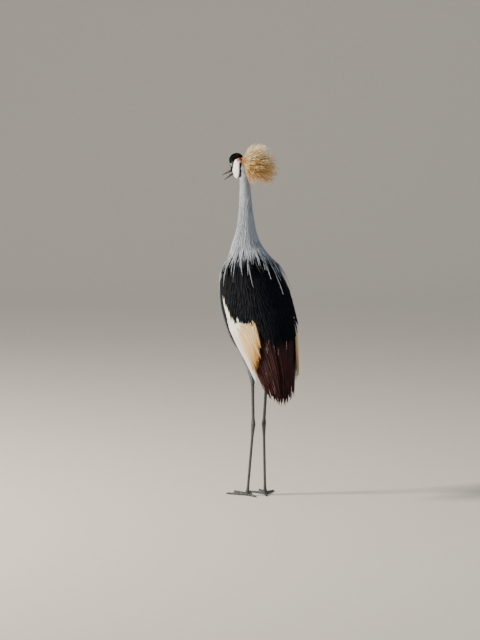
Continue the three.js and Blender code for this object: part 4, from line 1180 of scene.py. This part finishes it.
print("plumes at 60 degrees reach station", round(float(PLUME_REACH(60))))

# %% [markdown]
# The flank is the soft side of the body under the folded wing. Its feathers puff out over the wing's lower
# edge, so they follow a swelling of their own, with a bed of grey down under them.

# %% The flanks
def flank_swell(station, angle):
    lengthwise = smooth(262, 320, station), 1 - smooth(520, 610, station)
    return 16 * (1 - smooth(108, 138, np.abs(angle))) * lengthwise[0] * lengthwise[1]


def flank_rows(side):
    rows = []
    for tier, root in enumerate(np.arange(262, 560, 9)):
        for i in range(10):
            angle = 105 + 3.9 * (i + (tier % 2) / 2) + rng.normal(0, 0.5)
            length = 34 + rng.normal(0, 3)
            rows.append((root, side * angle, root + length, side * (angle - 1), rng.uniform(8, 11), 0.6))
    return rows


def flank_height(station, angle, root, root_angle):
    return flank_swell(station, angle) + from_root(station, root, 0.4 + 0.04 * (station - root), -1.5)


print("the flank swells to", round(float(flank_swell(400, 108)), 1), "mm over the coat")

# %% [markdown]
# Secondaries and primaries are the flight feathers: stiff blades, folded one over the other like a fan. Each
# layer lies a little higher than the one under it, as the folded wing stacks them.

# %% The secondaries and primaries
# For each layer: the first and the last feather's angle, how far it reaches, and how many feathers it has
SECONDARIES = [(4, 92, 750, 30), (6, 72, 728, 24), (8, 58, 690, 18)]
PRIMARIES = 7


def secondary_rows(side):
    rows = []
    for layer, (first, last, reach, count) in enumerate(SECONDARIES):
        for i in range(count):
            t = i / (count - 1)
            angle = side * (first + (last - first) * t + rng.normal(0, 0.6))
            root, end = WING_REAR - 24 + 6 * layer, reach - 45 * t**1.5 + rng.normal(0, 6)
            rows.append((root, angle, end, angle * 0.95, rng.uniform(11, 14), 0.8))
    return rows


def secondary_height(station, angle, root, root_angle):
    lap = 5.2 * smooth(58, 74, np.abs(angle)) * (root < 466)
    return 2.2 + lap + (root - 462) * 0.45 + 0.5 * np.sin(root_angle * 11) + np.abs(root_angle) * 0.008


def primary_rows(side):
    rows = []
    for i in range(PRIMARIES):
        end = 728 - 15 * i + rng.normal(0, 3)
        rows.append((WING_REAR + 4, side * (79 + 4.2 * i), end, side * (77 + 3.7 * i), 15, 0.8))
    return rows


def primary_height(station, angle, root, root_angle):
    return 2.0 + 0.075 * (np.abs(root_angle) - 80)

print("primaries of a wing:", PRIMARIES, "secondaries:", sum(row[3] for row in SECONDARIES))

# %% Both wings are laid
for side, name in [(-1, "left"), (1, "right")]:
    wrap(f"coverts_{name}", covert_rows(side), wing_blade, covert_finish, covert_height, "white_plumage",
         [f"wing_coverts_{name}"], 0.03, 31)
    wrap(f"white_plumes_{name}", plume_rows(side, True), long_blade, covert_finish, plume_height,
         "white_plumage", [f"wing_coverts_{name}"], 0.025, 37)
    wrap(f"plumes_{name}", plume_rows(side, False), long_blade, plume_finish, plume_height, "golden_plumage",
         [f"wing_plumes_{name}"], 0.025, 32)
    wrap(f"flank_{name}", flank_rows(side), long_blade, shaded_flank_finish, flank_height, "body_grey", (), 0.05, 35)
    bed(f"flank_bed_{name}", np.linspace(264, 600, 60), side * np.linspace(106, 140, 25),
        lambda s, a: flank_swell(s, a) - 0.6, grey_down, "body_grey")
    wrap(f"secondaries_{name}", secondary_rows(side), wing_blade, secondary_finish, secondary_height,
         "chestnut_plumage", [f"wing_secondaries_{name}"], 0.015, 33)
    wrap(f"primaries_{name}", primary_rows(side), wing_blade, primary_finish, primary_height, "black_plumage",
         [f"wing_primaries_{name}"], 0.01, 34)

# %% [markdown]
# A few barbs of the lower back have come loose and lie over the dark feathers, as thin strokes at the cape's
# lower edge and on the chestnut feathers below it. Their pinkish white is painted highlight, where light
# catches them.

# %% Loose barbs, painted pale as highlight
# A barb without its feather: its dull pinkish white is painted highlight, and it is thin enough to catch no
# gloss
barb_highlight_finish = feather_finish("loose_pale_barb", "#7d6a66", "#a3928d", "#ae9f9a", sheen=0.0, length_mm=30,
                             width_mm=1)
# The middle of each group, as station and angle, and how many barbs lie there
BARB_GROUPS = [(588, -22, 4), (592, -14, 3), (586, 14, 2), (655, -30, 2), (700, -30, 3), (726, -12, 1)]


def barb_rows():
    rows = []
    for middle, angle, count in BARB_GROUPS:
        for _ in range(count):
            start, side_on = middle + rng.normal(0, 9), angle + rng.normal(0, 5)
            end, tip = start + rng.uniform(14, 30), side_on + rng.normal(0, 2)
            rows.append((start, side_on, end, tip, rng.uniform(0.35, 0.55), 0.4))
    return rows


def barb_height(station, angle, root, root_angle):
    return 13.5 + 8 * (1 - smooth(600, 640, root)) + 0.03 * (station - root)


wrap("loose_barbs", barb_rows(), long_blade, barb_highlight_finish, barb_height, "white_plumage", (), 0.08, 36)

# %% [markdown]
# The tail is short and black, and lies under the wing tips. Its feathers could be one slab, but a wing blade
# for each, in two layers whose neighbours lie one over the other, gives it the stepped edge of a real tail.

# %% The tail
TAIL_PITCH = 9.4  # degrees from one tail feather to the next
tail_rows = []
for layer in range(2):
    for i in range(14 - layer):
        angle = TAIL_PITCH * (i - (13 - layer) / 2)
        end = 744 - 0.25 * abs(angle) - 14 * layer + rng.normal(0, 3)
        tail_rows.append((622, angle, end, angle, 17, 0.9))


def tail_height(station, angle, root, root_angle):
    return -7 + 2.4 * (np.round(np.abs(root_angle) / TAIL_PITCH) % 2)


wrap("tail_feathers", tail_rows, wing_blade, primary_finish, tail_height, "black_plumage", ["tail"], 0.01, 41)

# %% [markdown]
# The crest is a fan of stiff bristles. Each is a thin rod, straw-coloured with a darker foot, and they stand
# on a small pad behind the crown. They are laid with the same tree, here in the head's own millimetres.

# %% The bristles
CREST = {"at": (0, -30, -7), "radii": (12, 9, 22), "lean": -22}
FAN_LOW, FAN_RISE, FAN_HALF = -50, 71, 43  # degrees: the lowest bristles, up from there, and to either side
BRISTLES, BRISTLE_LENGTH = 430, 99  # in each of the two colours, and in millimetres
# Stiff straw-coloured bristles, spirally twisted on the bird, so each one glints in short dashes
gold_finish = feather_finish("golden_bristle", "#a87a38", "#e0bb75", "#d2a55c", sheen=0.05, rough=0.5,
                             length_mm=97, width_mm=1, barb_mm=5, vary=0.35)
straw_finish = feather_finish("straw_bristle", "#b58f4e", "#efdfb6", "#dfc285", sheen=0.1, rough=0.5,
                              length_mm=97, width_mm=1, barb_mm=5, vary=0.3)
bristle_blade = blade("bristle_blade", through((0, 0.7), (0.5, 1), (1, 0.3)), np.linspace(0, 1, 7),
                      FLAT_SECTION)


def crest_parts(first, last):
    """Bristles from one share of the fan's rise to another: 0 is the lowest and 1 the highest."""
    lean = math.radians(CREST["lean"])
    up = np.array([0, -math.sin(lean), math.cos(lean)])
    roots, turns, sizes, home = [], [], [], []
    for i in range(BRISTLES):
        share = first + (last - first) * (i + 0.5) / BRISTLES
        aside = 2 * ((i * 0.618034) % 1) - 1  # the golden section spreads them evenly to both sides
        rise = math.radians(FAN_LOW + FAN_RISE * share + rng.normal(0, 3.5))
        swing = math.radians(FAN_HALF * aside * (1 - 0.6 * share**2) + rng.normal(0, 3))
        level = math.cos(rise)
        heading = Vector((math.sin(swing) * level, -math.cos(swing) * level, math.sin(rise)))
        foot = np.array(CREST["at"]) + up * CREST["radii"][2] * (1.35 * share - 0.75)
        roots.append(foot + [CREST["radii"][0] * 0.6 * aside, 0, 0])
        turns.append(heading.to_track_quat("Y", "Z").to_euler())
        thick = rng.uniform(0.55, 0.95)
        reach = BRISTLE_LENGTH * rng.uniform(0.8, 1.02) * (1 - 0.13 * (2 * share - 1) ** 2)
        sizes.append((thick, reach, thick))
        home.append((share, aside, 0))
    return roots, turns, sizes, home


print("bristles:", 2 * BRISTLES)

# %% The crest on the head
# The gold bristles fill the lower part of the fan and the straw ones the upper, from share to share
CREST_COATS = [("gold", gold_finish, 0, 0.58, 51), ("straw", straw_finish, 0.34, 1, 52)]
for name, finish, first, last, seed in CREST_COATS:
    crest = lay(f"crest_{name}", *crest_parts(first, last), bristle_blade, finish, (0.02, 0, 0.02), seed)
    bristle_at = coords(crest.data)
    bristle_at[:, 2] -= 5 * ramp(30, 125, -bristle_at[:, 1]) ** 2  # the tips droop by their own weight
    set_points(crest.data, on_head(bristle_at))
    share, aside, _ = stored(crest.data, "home").T
    baking_map(crest.data, 0.5 + 0.45 * aside, 0.05 + 0.9 * share)
    put_on_bird(crest, "crest_straw", "crest")
pad = shown("crest_pad", ellipsoid("crest_pad", CREST["at"], CREST["radii"], tilt=CREST["lean"]))
# The brown fluff at the bristles' feet: matt, and its brown darkened as painted shade, so that the crest
# seems to rise out of a shadow
pad.data.materials.append(down_finish("brown_crest_foot", "#5a3c16", "#8f6526"))
put_on_bird(pad, "crest_straw")
print("crest:", len(crest.data.polygons), "faces")

# %% [markdown]
# The bare cheeks, the wattle and the eyelids are naked skin. Skin is soft and a little translucent, and it is
# never quite smooth: fine wrinkles run over it. A Principled shader with some subsurface scattering gives the
# glow, and a noise bump gives the wrinkles.

# %% The bare skin
def bare_skin(name, colour, deep, wrinkle_mm, rough):
    """Naked skin: damp, soft, a little light passes into it. colour changes to deep where 'blush' is 1."""
    made, tree = new_material(name)
    at = add(tree, "ShaderNodeTexCoord")
    grain = add(tree, "ShaderNodeTexNoise",
                {"Vector": at.outputs["Object"], "Scale": 1000 / wrinkle_mm, "Detail": 3.0})
    folds = add(tree, "ShaderNodeTexVoronoi", {"Vector": at.outputs["Object"], "Scale": 700 / wrinkle_mm})
    blush = add(tree, "ShaderNodeAttribute", attribute_name="blush")
    tone = add(tree, "ShaderNodeMix", {0: blush.outputs["Fac"], 6: linear(colour), 7: linear(deep)},
               data_type="RGBA")
    shade = add(tree, "ShaderNodeMapRange", {"Value": grain.outputs["Fac"], "To Min": 0.86, "To Max": 1.1})
    tone = add(tree, "ShaderNodeVectorMath", {0: tone.outputs[2], "Scale": shade.outputs[0]},
               operation="SCALE")
    relief = add(tree, "ShaderNodeMath", {0: grain.outputs["Fac"], 1: folds.outputs["Distance"]},
                 operation="ADD")
    bump = add(tree, "ShaderNodeBump", {"Height": relief.outputs[0], "Strength": 0.35, "Distance": 0.0004})
    shader = add(tree, "ShaderNodeBsdfPrincipled",
                 {"Base Color": tone.outputs[0], "Roughness": rough, "Subsurface Weight": 0.15,
                  "Subsurface Scale": 0.003, "Normal": bump.outputs[0]})
    add(tree, "ShaderNodeOutputMaterial", {"Surface": shader.outputs["BSDF"]})
    return made


# Bare cheek: white skin without feathers, dark red where the blood shows at its upper back corner
cheek_skin = bare_skin("bare_cheek_skin", "#f6f3f1", "#8e1820", 1.6, 0.5)
# Wattle: skin full of blood, bright red and a little damper than the cheek
wattle_skin = bare_skin("red_wattle_skin", "#b3171c", "#7d0d12", 1.2, 0.42)
# Eyelid: thin dark skin in the finest wrinkles
lid_skin = bare_skin("dark_lid_skin", "#3a3c42", "#1c1d21", 0.8, 0.45)
print("skins: cheek, wattle and lid")

# %% [markdown]
# Each cheek is a flat swelling with a red lobe at its upper back corner and a narrow front under the eye. It
# could be painted on the head, but it stands out from the velvet, so three ovals are joined and softened.

# %% The cheeks
for side, name in [(-1, "left"), (1, "right")]:
    patch = ellipsoid("patch", (side * 15.6, -5.5, -17), (6.8, 16, 29), 20, side * 6)
    lobe = ellipsoid("lobe", (side * 13.6, -21, 4.5), (5, 8, 9), 20, side * -16)
    front = ellipsoid("front", (side * 15.2, 4, -20), (4.5, 12, 13), 30, side * 14)
    cheek = shown(f"bare_cheek_{name}", bpy.data.meshes.new(f"bare_cheek_{name}"))
    join_and_soften(cheek, [patch, lobe, front], voxel=0.0007, rounds=6).shade_smooth()
    mm = off_head(coords(cheek.data))
    store(cheek.data, "blush", ramp(14, 20, -mm[:, 1]) * smooth(-2, 5, mm[:, 2]))
    cheek.data.materials.append(cheek_skin)
    put_on_bird(cheek, "bare_white_skin", f"cheek_{name}")
print("a cheek has", len(cheek.data.polygons), "faces")

# %% The wattle
folds = [ellipsoid("chin", (0, 12, -30), (6, 7, 4.5))]
folds += [ellipsoid("lobe", (x, 13, -34), (3.6, 4.6, 7), 17) for x in (-2.6, 2.6)]
wattle = shown("wattle", bpy.data.meshes.new("wattle"))
join_and_soften(wattle, folds, voxel=0.0004, rounds=6).shade_smooth()
mm = off_head(coords(wattle.data))
store(wattle.data, "blush", 0.5 + 0.5 * np.sin(mm[:, 2] * 2.2 + np.sin(mm[:, 0])))
wattle.data.materials.append(wattle_skin)
put_on_bird(wattle, "red_wattle", "throat_wattle")
print("the wattle has", len(wattle.data.polygons), "faces")

# %% [markdown]
# The eye is a clear wet ball: a black pupil, a blue-grey iris with fine rays, and a dark rim. The iris is
# painted a darker grey than the bird's own pale one, and the rim and the ball past it near black: painted
# shade of an eye set deep under the velvet. How far a point lies from the eye's axis decides which of them it
# is, so each ball carries that as a number.

# %% The eye's finish
# A wet ball under a clear coat: the dark rims, painted shade, hold the dimmed iris, and one sharp gleam makes
# it look alive
eyeball, tree = new_material("pale_wet_eye")
off_axis = add(tree, "ShaderNodeAttribute", attribute_name="off_axis")
rings = add(tree, "ShaderNodeValToRGB", {"Fac": off_axis.outputs["Fac"]})
# The pupil is black; the iris is painted darker than the bird's pale one and the ball past it near black, as
# painted shade of the deep-set eye
rings.color_ramp.elements[0].position, rings.color_ramp.elements[0].color = 0.0, linear("#050506")
rings.color_ramp.elements[1].position, rings.color_ramp.elements[1].color = 1.0, linear("#1a1c20")
PUPIL_TO_SHADED_RIM = [(0.24, "#050506"), (0.27, "#6f7d87"), (0.42, "#93a1a9"), (0.48, "#56626a"), (0.52, "#0c0d10")]
for at, colour in PUPIL_TO_SHADED_RIM:
    rings.color_ramp.elements.new(at).color = linear(colour)
place_on = add(tree, "ShaderNodeTexCoord")
rays = add(tree, "ShaderNodeTexNoise", {"Vector": place_on.outputs["Object"], "Scale": 2500.0})
depth = add(tree, "ShaderNodeMapRange", {"Value": rays.outputs["Fac"], "To Min": 0.8, "To Max": 1.15})
tone = add(tree, "ShaderNodeVectorMath", {0: rings.outputs["Color"], "Scale": depth.outputs[0]},
           operation="SCALE")
wet = add(tree, "ShaderNodeBsdfPrincipled",
          {"Base Color": tone.outputs[0], "Roughness": 0.2, "IOR": 1.38, "Coat Weight": 0.4,
           "Coat Roughness": 0.05})
add(tree, "ShaderNodeOutputMaterial", {"Surface": wet.outputs["BSDF"]})
print("eye rings:", len(rings.color_ramp.elements))

# %% The eyes and their lids
EYE = {"at": (11.6, 15, 0), "radius": 7}
LID = {"out": 4.4, "radius": 6, "thick": 1.2}


def lid_ring(side):
    """A swollen ring round the opening of the eye, with a fold above it."""
    around = np.linspace(0, 2 * math.pi, 64, endpoint=False)
    rows = []
    for turn in np.linspace(0, 2 * math.pi, 20, endpoint=False):
        far = LID["radius"] + LID["thick"] * np.cos(turn) * (1 + 0.25 * np.sin(around))
        out = LID["thick"] * np.sin(turn) * (1 + 0.12 * np.cos(3 * around))
        x = side * (EYE["at"][0] + LID["out"] + out)
        y, z = EYE["at"][1] + far * np.cos(around), EYE["at"][2] + far * np.sin(around) * 0.92
        rows.append(np.stack([x, y, z], 1))
    return np.array(rows)


def lid_mesh(rows):
    """A closed ring over rows of points that run round it."""
    turns, count = rows.shape[:2]
    at = np.arange(turns * count).reshape(turns, count)
    next_row = np.roll(at, -1, 0)
    faces = np.stack([at, np.roll(at, -1, 1), np.roll(next_row, -1, 1), next_row], -1).reshape(-1, 4)
    mesh = bpy.data.meshes.new("eyelid")
    mesh.from_pydata(on_head(rows.reshape(-1, 3)).tolist(), [], faces.tolist())
    return outward(mesh)


for side, name in [(-1, "left"), (1, "right")]:
    at = (side * EYE["at"][0], *EYE["at"][1:])
    ball = shown(f"eyeball_{name}", ellipsoid("ball", at, (EYE["radius"],) * 3, count=(64, 48)))
    forward = side * (off_head(coords(ball.data)) - at)[:, 0] / EYE["radius"]
    store(ball.data, "off_axis", np.arccos(np.clip(forward, -1, 1)) / (math.pi / 2))
    ball.data.materials.append(eyeball)
    put_on_bird(ball, "eye", f"eye_{name}")
    rows = lid_ring(side)
    lid = shown(f"eyelid_{name}", lid_mesh(rows))
    folds = 0.5 + 0.5 * np.cos(np.linspace(0, 12 * math.pi, rows.shape[1]))
    store(lid.data, "blush", np.tile(folds, rows.shape[0]))
    lid.data.materials.append(lid_skin)
    put_on_bird(lid, "black_plumage")
print("eyes and lids made")

# %% [markdown]
# Bill and claws are horn: keratin that grows in layers from the root, so faint streaks run along it and the
# tip is worn smoother than the root. The bill is lofted again on finer rings, with its nostril pressed in.

# %% Horn
def horn_finish(name, dark, light, streak_mm):
    """Keratin: satin, with streaks along its growth; the paler streaks are also the rougher ones."""
    made, tree = new_material(name)
    along = add(tree, "ShaderNodeTexCoord")
    fine = 1000 / streak_mm
    stretch = add(tree, "ShaderNodeMapping", {0: along.outputs["Object"], 3: (fine, 120.0, fine)})
    streaks = add(tree, "ShaderNodeTexNoise", {"Vector": stretch.outputs[0], "Scale": 1.0, "Detail": 4.0})
    tone = add(tree, "ShaderNodeValToRGB", {"Fac": streaks.outputs["Fac"]})
    tone.color_ramp.elements[0].position, tone.color_ramp.elements[0].color = 0.3, linear(dark)
    tone.color_ramp.elements[1].position, tone.color_ramp.elements[1].color = 0.75, linear(light)
    gloss = add(tree, "ShaderNodeMapRange", {"Value": streaks.outputs["Fac"], "To Min": 0.28, "To Max": 0.5})
    bump = add(tree, "ShaderNodeBump",
               {"Height": streaks.outputs["Fac"], "Strength": 0.2, "Distance": 0.0003})
    shader = add(tree, "ShaderNodeBsdfPrincipled",
                 {"Base Color": tone.outputs["Color"], "Roughness": gloss.outputs[0],
                  "Normal": bump.outputs[0]})
    add(tree, "ShaderNodeOutputMaterial", {"Surface": shader.outputs["BSDF"]})
    return made


# Near-black horn: the paler streaks are dry layers, and the satin shows the bill's ridge
horn = horn_finish("dark_grey_horn", "#0d0e10", "#25272b", 1.2)
print("horn ready")

# %% The bill
GAPE = {"at": (22, -16.2), "open": math.radians(14)}
BILL_FOOT, BILL_TIP, FOOT_HALF, TIP_HALF = 29, 80, 7.2, 0.8  # two places, and half the width at each, in mm
culmen = through((29, -7), (45, -9), (60, -10.8), (74, -12.8), (80, -14.8))
upper_edge = through((29, -15.9), (60, -15.2), (74, -15.2), (80, -15.8))
lower_keel = through((24, -22.4), (45, -20.6), (60, -18.8), (76, -17.2))


def half_width(y):
    share = max(0, y - BILL_FOOT) / (BILL_TIP - BILL_FOOT)
    return FOOT_HALF + (TIP_HALF - FOOT_HALF) * share**0.75


def bill_ring(y, half, top, bottom):
    middle = (top + bottom) / 2
    return ring((0, y, middle), (1, 0, 0), (0, 0, 1), half, top - middle, middle - bottom, 48)


upper = [bill_ring(y, half_width(y), float(culmen(y)), float(upper_edge(y))) for y in np.linspace(27, 80, 90)]
upper = np.array(upper)
# The nostril: a slit on each side, pressed in
off_slit = np.hypot((upper[..., 1] - 42) / 5.5, (upper[..., 2] + 12) / 1.5)
upper[..., 0] *= 1 - 0.42 * np.clip(1.25 - off_slit, 0, 1) ** 0.5
print("the bill is", round(float(np.ptp(upper[..., 1]))), "mm long")

# %% [markdown]
# The lower bill turns about the gape, the corner of the mouth, so it is made closed and then turned open. A
# narrower copy of the upper bill's rings makes its edge fit inside the upper one.

# %% The lower bill, opened
lower = np.array([bill_ring(y, half_width(y + 3.5) * 0.88, -16.3, float(lower_keel(y)) - 1.2)
                  for y in np.linspace(24, 76, 80)])
away = lower - [0, *GAPE["at"]]
cosine, sine = math.cos(GAPE["open"]), math.sin(GAPE["open"])
lower[..., 1] = GAPE["at"][0] + away[..., 1] * cosine + away[..., 2] * sine
lower[..., 2] = GAPE["at"][1] - away[..., 1] * sine + away[..., 2] * cosine
for name, rings_of_bill in [("upper", upper), ("lower", lower)]:
    half = shown(f"horn_bill_{name}", tube(f"horn_bill_{name}", [on_head(r) for r in rings_of_bill]))
    half.data.materials.append(horn)
    put_on_bird(half, "bill_and_claw_horn", f"bill_{name}")
print("the bill is open by", round(math.degrees(GAPE["open"])), "degrees")

# %% [markdown]
# The legs are bare and scaly. Broad scutes run down the front of the tarsus and over the toes, and small
# round scales cover the rest. A ring every 0.8 mm is enough to cut the scutes into the surface itself, and
# the small scales are a bump.

# %% The scaled skin of the legs
def scale_finish(name, dark, light, scale_mm):
    """Horny leg skin: dark plates with paler dust in the grooves between them."""
    made, tree = new_material(name)
    at = add(tree, "ShaderNodeTexCoord")
    scales = add(tree, "ShaderNodeTexVoronoi", {"Vector": at.outputs["Object"], "Scale": 1000 / scale_mm})
    grime = add(tree, "ShaderNodeTexNoise", {"Vector": at.outputs["Object"], "Scale": 90.0, "Detail": 4.0})
    groove = add(tree, "ShaderNodeAttribute", attribute_name="groove")
    worn = add(tree, "ShaderNodeMath", {0: scales.outputs["Distance"], 1: groove.outputs["Fac"]},
               operation="MAXIMUM")
    worn = add(tree, "ShaderNodeMath", {0: worn.outputs[0], 1: grime.outputs["Fac"]}, operation="MULTIPLY")
    tone = add(tree, "ShaderNodeValToRGB", {"Fac": worn.outputs[0]})
    tone.color_ramp.elements[0].color = linear(dark)
    tone.color_ramp.elements[1].position, tone.color_ramp.elements[1].color = 0.6, linear(light)
    bump = add(tree, "ShaderNodeBump",
               {"Height": scales.outputs["Distance"], "Strength": 0.5, "Distance": 0.0004}, invert=True)
    shader = add(tree, "ShaderNodeBsdfPrincipled",
                 {"Base Color": tone.outputs["Color"], "Roughness": 0.52, "Normal": bump.outputs[0]})
    add(tree, "ShaderNodeOutputMaterial", {"Surface": shader.outputs["BSDF"]})
    return made


# Blackish plates: dull horn, worn paler along the grooves where dust stays
leg_skin = scale_finish("scaled_leg_skin", "#1b1d21", "#5c6066", 1.8)
print("leg skin ready")

# %% Scutes, and tubes that carry them
def scutes(along, pitch):
    """How far a plate stands out, and how deep in its groove a point is, along the leg, in millimetres."""
    share = (along / pitch) % 1
    return 0.35 * np.sin(math.pi * share) ** 0.35, np.exp(-((np.minimum(share, 1 - share) / 0.09) ** 2))


def above_floor(rows):
    """Rows of points in metres, with none below the floor."""
    for points in rows:
        points[:, 2] = np.maximum(points[:, 2], 0)
    return rows


def scaled_tube(name, rows, front, pitch, *nodes):
    """A tube over rows of points in mm, with plates on the side that faces front, pitch mm apart."""
    plated, grooves, run = [], [], 0.0
    last = rows[0].mean(0)
    for points in rows:
        middle = points.mean(0)
        run += float(np.linalg.norm(middle - last))
        last = middle
        stand, groove = scutes(run, pitch)
        away = points - middle
        away /= np.maximum(np.linalg.norm(away, axis=1)[:, None], 1e-9)
        facing = smooth(0.1, 0.6, away @ front)
        plated.append((points + away * (facing * stand)[:, None]) / 1000)
        grooves.append(facing * groove)
    made = shown(name, tube(name, above_floor(plated)))
    flat = np.zeros(len(made.data.vertices))
    order = np.concatenate(grooves)
    flat[: min(len(flat), len(order))] = order[: len(flat)]
    store(made.data, "groove", flat)
    made.data.materials.append(leg_skin)
    put_on_bird(made, "leg_scutes", *nodes)


print("a scute stands out by", round(float(scutes(3, 6)[0]), 2), "mm")

# %% Shanks and tarsi
# Share of the way down, half the width and half the depth, all in mm but the first
SHANK = [(0, 5.4, 5.8), (0.5, 4.3, 4.7), (0.85, 4.5, 5.3), (0.95, 6.2, 7.8), (1, 6.8, 8.2)]
TARSUS = through((0, 6.6), (0.08, 5.3), (0.2, 4), (0.85, 4), (1, 5.2))
FORWARD, UP = np.array([0, 1, 0]), np.array([0, 0, 1])
LEG_AROUND = 40  # points round a shank, a tarsus or a heel


def shank_and_tarsus(name, leg):
    wide, deep = [through(*[(t, row[k]) for t, *row in SHANK]) for k in (0, 1)]
    shank, tarsus = [], []
    for t in np.linspace(0, 1, 150):
        z = THIGH_END + 8 + (ANKLE_Z - THIGH_END - 8) * t
        shank.append(leg_ring(leg["knee"], leg["ankle"], t, z, float(wide(t)), float(deep(t)), LEG_AROUND))
    for t in np.linspace(0, 1, 250):
        z, thick = ANKLE_Z + 0.5 + (SOLE_TOP - 4 - ANKLE_Z) * t, float(TARSUS(t))
        half_x, half_y = thick - 0.2, thick * 1.12 - 0.2
        tarsus.append(leg_ring(leg["ankle"], leg["foot"], t, z, half_x, half_y, LEG_AROUND))
    scaled_tube(f"scaled_shank_{name}", [r * 1000 for r in shank], FORWARD, 7, f"shank_{name}")
    scaled_tube(f"scaled_tarsus_{name}", [r * 1000 for r in tarsus], FORWARD, 6.5, f"tarsus_{name}")


print("the tarsus is", round(2 * float(TARSUS(0.5)), 1), "mm wide in its middle")

# %% Toes, claws and heels
# For each toe: its heading in degrees from the foot's own, its length and half its thickness in mm
TOES = {"middle": (0, 78, 5.2), "inner": (33, 60, 4.8), "outer": (-34, 64, 4.8), "hind": (172, 36, 4.4)}
CLAW_LENGTH, TOES_OUT = 12, 8


def toe_rings(home, ahead, aside, length, thick):
    """Four swollen pads along the toe, and a rounded tip."""
    rows = []
    for t in np.linspace(0, 1, int(length)):
        radius = thick * (1 - 0.36 * t) * (1 + 0.07 * math.cos(2 * math.pi * t * 4))
        radius *= math.sqrt(max(0.05, 1 - (max(0, t - 0.93) / 0.07) ** 2 * 0.8))
        middle = home + ahead * (t * length) + UP * (radius - 0.7)
        rows.append(ring(middle, aside, UP, radius, radius, radius, 28))
    return rows


def claw_rings(home, ahead, aside, length, thick):
    """A blunt claw that arches a little and ends in a point."""
    rows = []
    for t in np.linspace(0, 1, 24):
        radius = thick * 0.6 * (1 - t) ** 0.6 + 0.3
        lift = radius - 0.4 + 1.2 * math.sin(math.pi * t)
        middle = home + ahead * (length - 1 + t * CLAW_LENGTH) + UP * lift
        rows.append(ring(middle, aside, UP, radius * 0.8, radius, radius, 24))
    return rows


def heel_rings(home):
    rows = []
    for share in np.linspace(0, 1, 16):
        y, z = 1.5 * share, SOLE_TOP + 1 + (1.2 - SOLE_TOP - 1) * share
        half_x, half_y = 6.1 + 1.3 * share, 6.6 + 1.6 * share
        rows.append(ring(home + [0, y, z], (1, 0, 0), (0, -1, 0), half_x, half_y, half_y, LEG_AROUND))
    return rows


print("toes:", list(TOES))

# %% Both legs
for name, leg in LEGS.items():
    shank_and_tarsus(name, leg)
    home = np.array([leg["foot"][0] - CENTRE[0], leg["foot"][1] - CENTRE[1], 0])
    for toe, (heading, length, thick) in TOES.items():
        turned = math.radians(-leg["side"] * TOES_OUT) + math.radians(leg["side"] * heading)
        ahead = np.array([-math.sin(turned), math.cos(turned), 0])
        aside = np.array([math.cos(turned), math.sin(turned), 0])
        nodes = [f"foot_{name}"] if toe == "middle" else []
        toe_rows = toe_rings(home, ahead, aside, length, thick)
        scaled_tube(f"scaled_toe_{name}_{toe}", toe_rows, UP, 3.2, *nodes)
        claw = above_floor(np.array(claw_rings(home, ahead, aside, length, thick)) / 1000)
        nail = shown(f"horn_claw_{name}_{toe}", tube("nail", claw))
        nail.data.materials.append(horn)
        put_on_bird(nail, "bill_and_claw_horn", f"claw_{name}_{toe}")
    scaled_tube(f"scaled_heel_{name}", heel_rings(home), FORWARD, 5)
print("legs made")

# %% [markdown]
# The skin itself shows only between the feathers. It carries the coat's own markings: black on the head,
# pale grey on the neck and darker grey on the body and thighs.

# %% The skin's finish
# Down seen between the feathers: matt and tufted, in the colour of the coat over it
down, tree = new_material("skin_down")
at = add(tree, "ShaderNodeTexCoord")
tufts = add(tree, "ShaderNodeTexNoise", {"Vector": at.outputs["Object"], "Scale": 400.0, "Detail": 4.0})
marking = add(tree, "ShaderNodeAttribute", attribute_name="marking")
shade = add(tree, "ShaderNodeMapRange", {"Value": tufts.outputs["Fac"], "To Min": 0.7, "To Max": 1.2})
tone = add(tree, "ShaderNodeVectorMath", {0: marking.outputs["Vector"], "Scale": shade.outputs[0]},
           operation="SCALE")
soft = add(tree, "ShaderNodeBsdfPrincipled",
           {"Base Color": tone.outputs[0], "Roughness": 0.95, "Sheen Weight": 0.4})
add(tree, "ShaderNodeOutputMaterial", {"Surface": soft.outputs["BSDF"]})
black, pale, grey = [np.array(linear(c)[:3]) for c in ("#0b0b0e", "#8d99a6", "#4c535b")]
marks = np.where((on_skull & ~on_nape)[:, None], black, np.where((on_neck | on_nape)[:, None], pale, grey))
store(skin.data, "marking", marks)
skin.data.materials.clear()
skin.data.materials.append(down)
put_on_bird(skin, "body_grey", "torso", "neck_upper", "neck_lower", "head", "thigh_left", "thigh_right",
            "forehead_cushion")
print("markings: black, pale grey and grey")
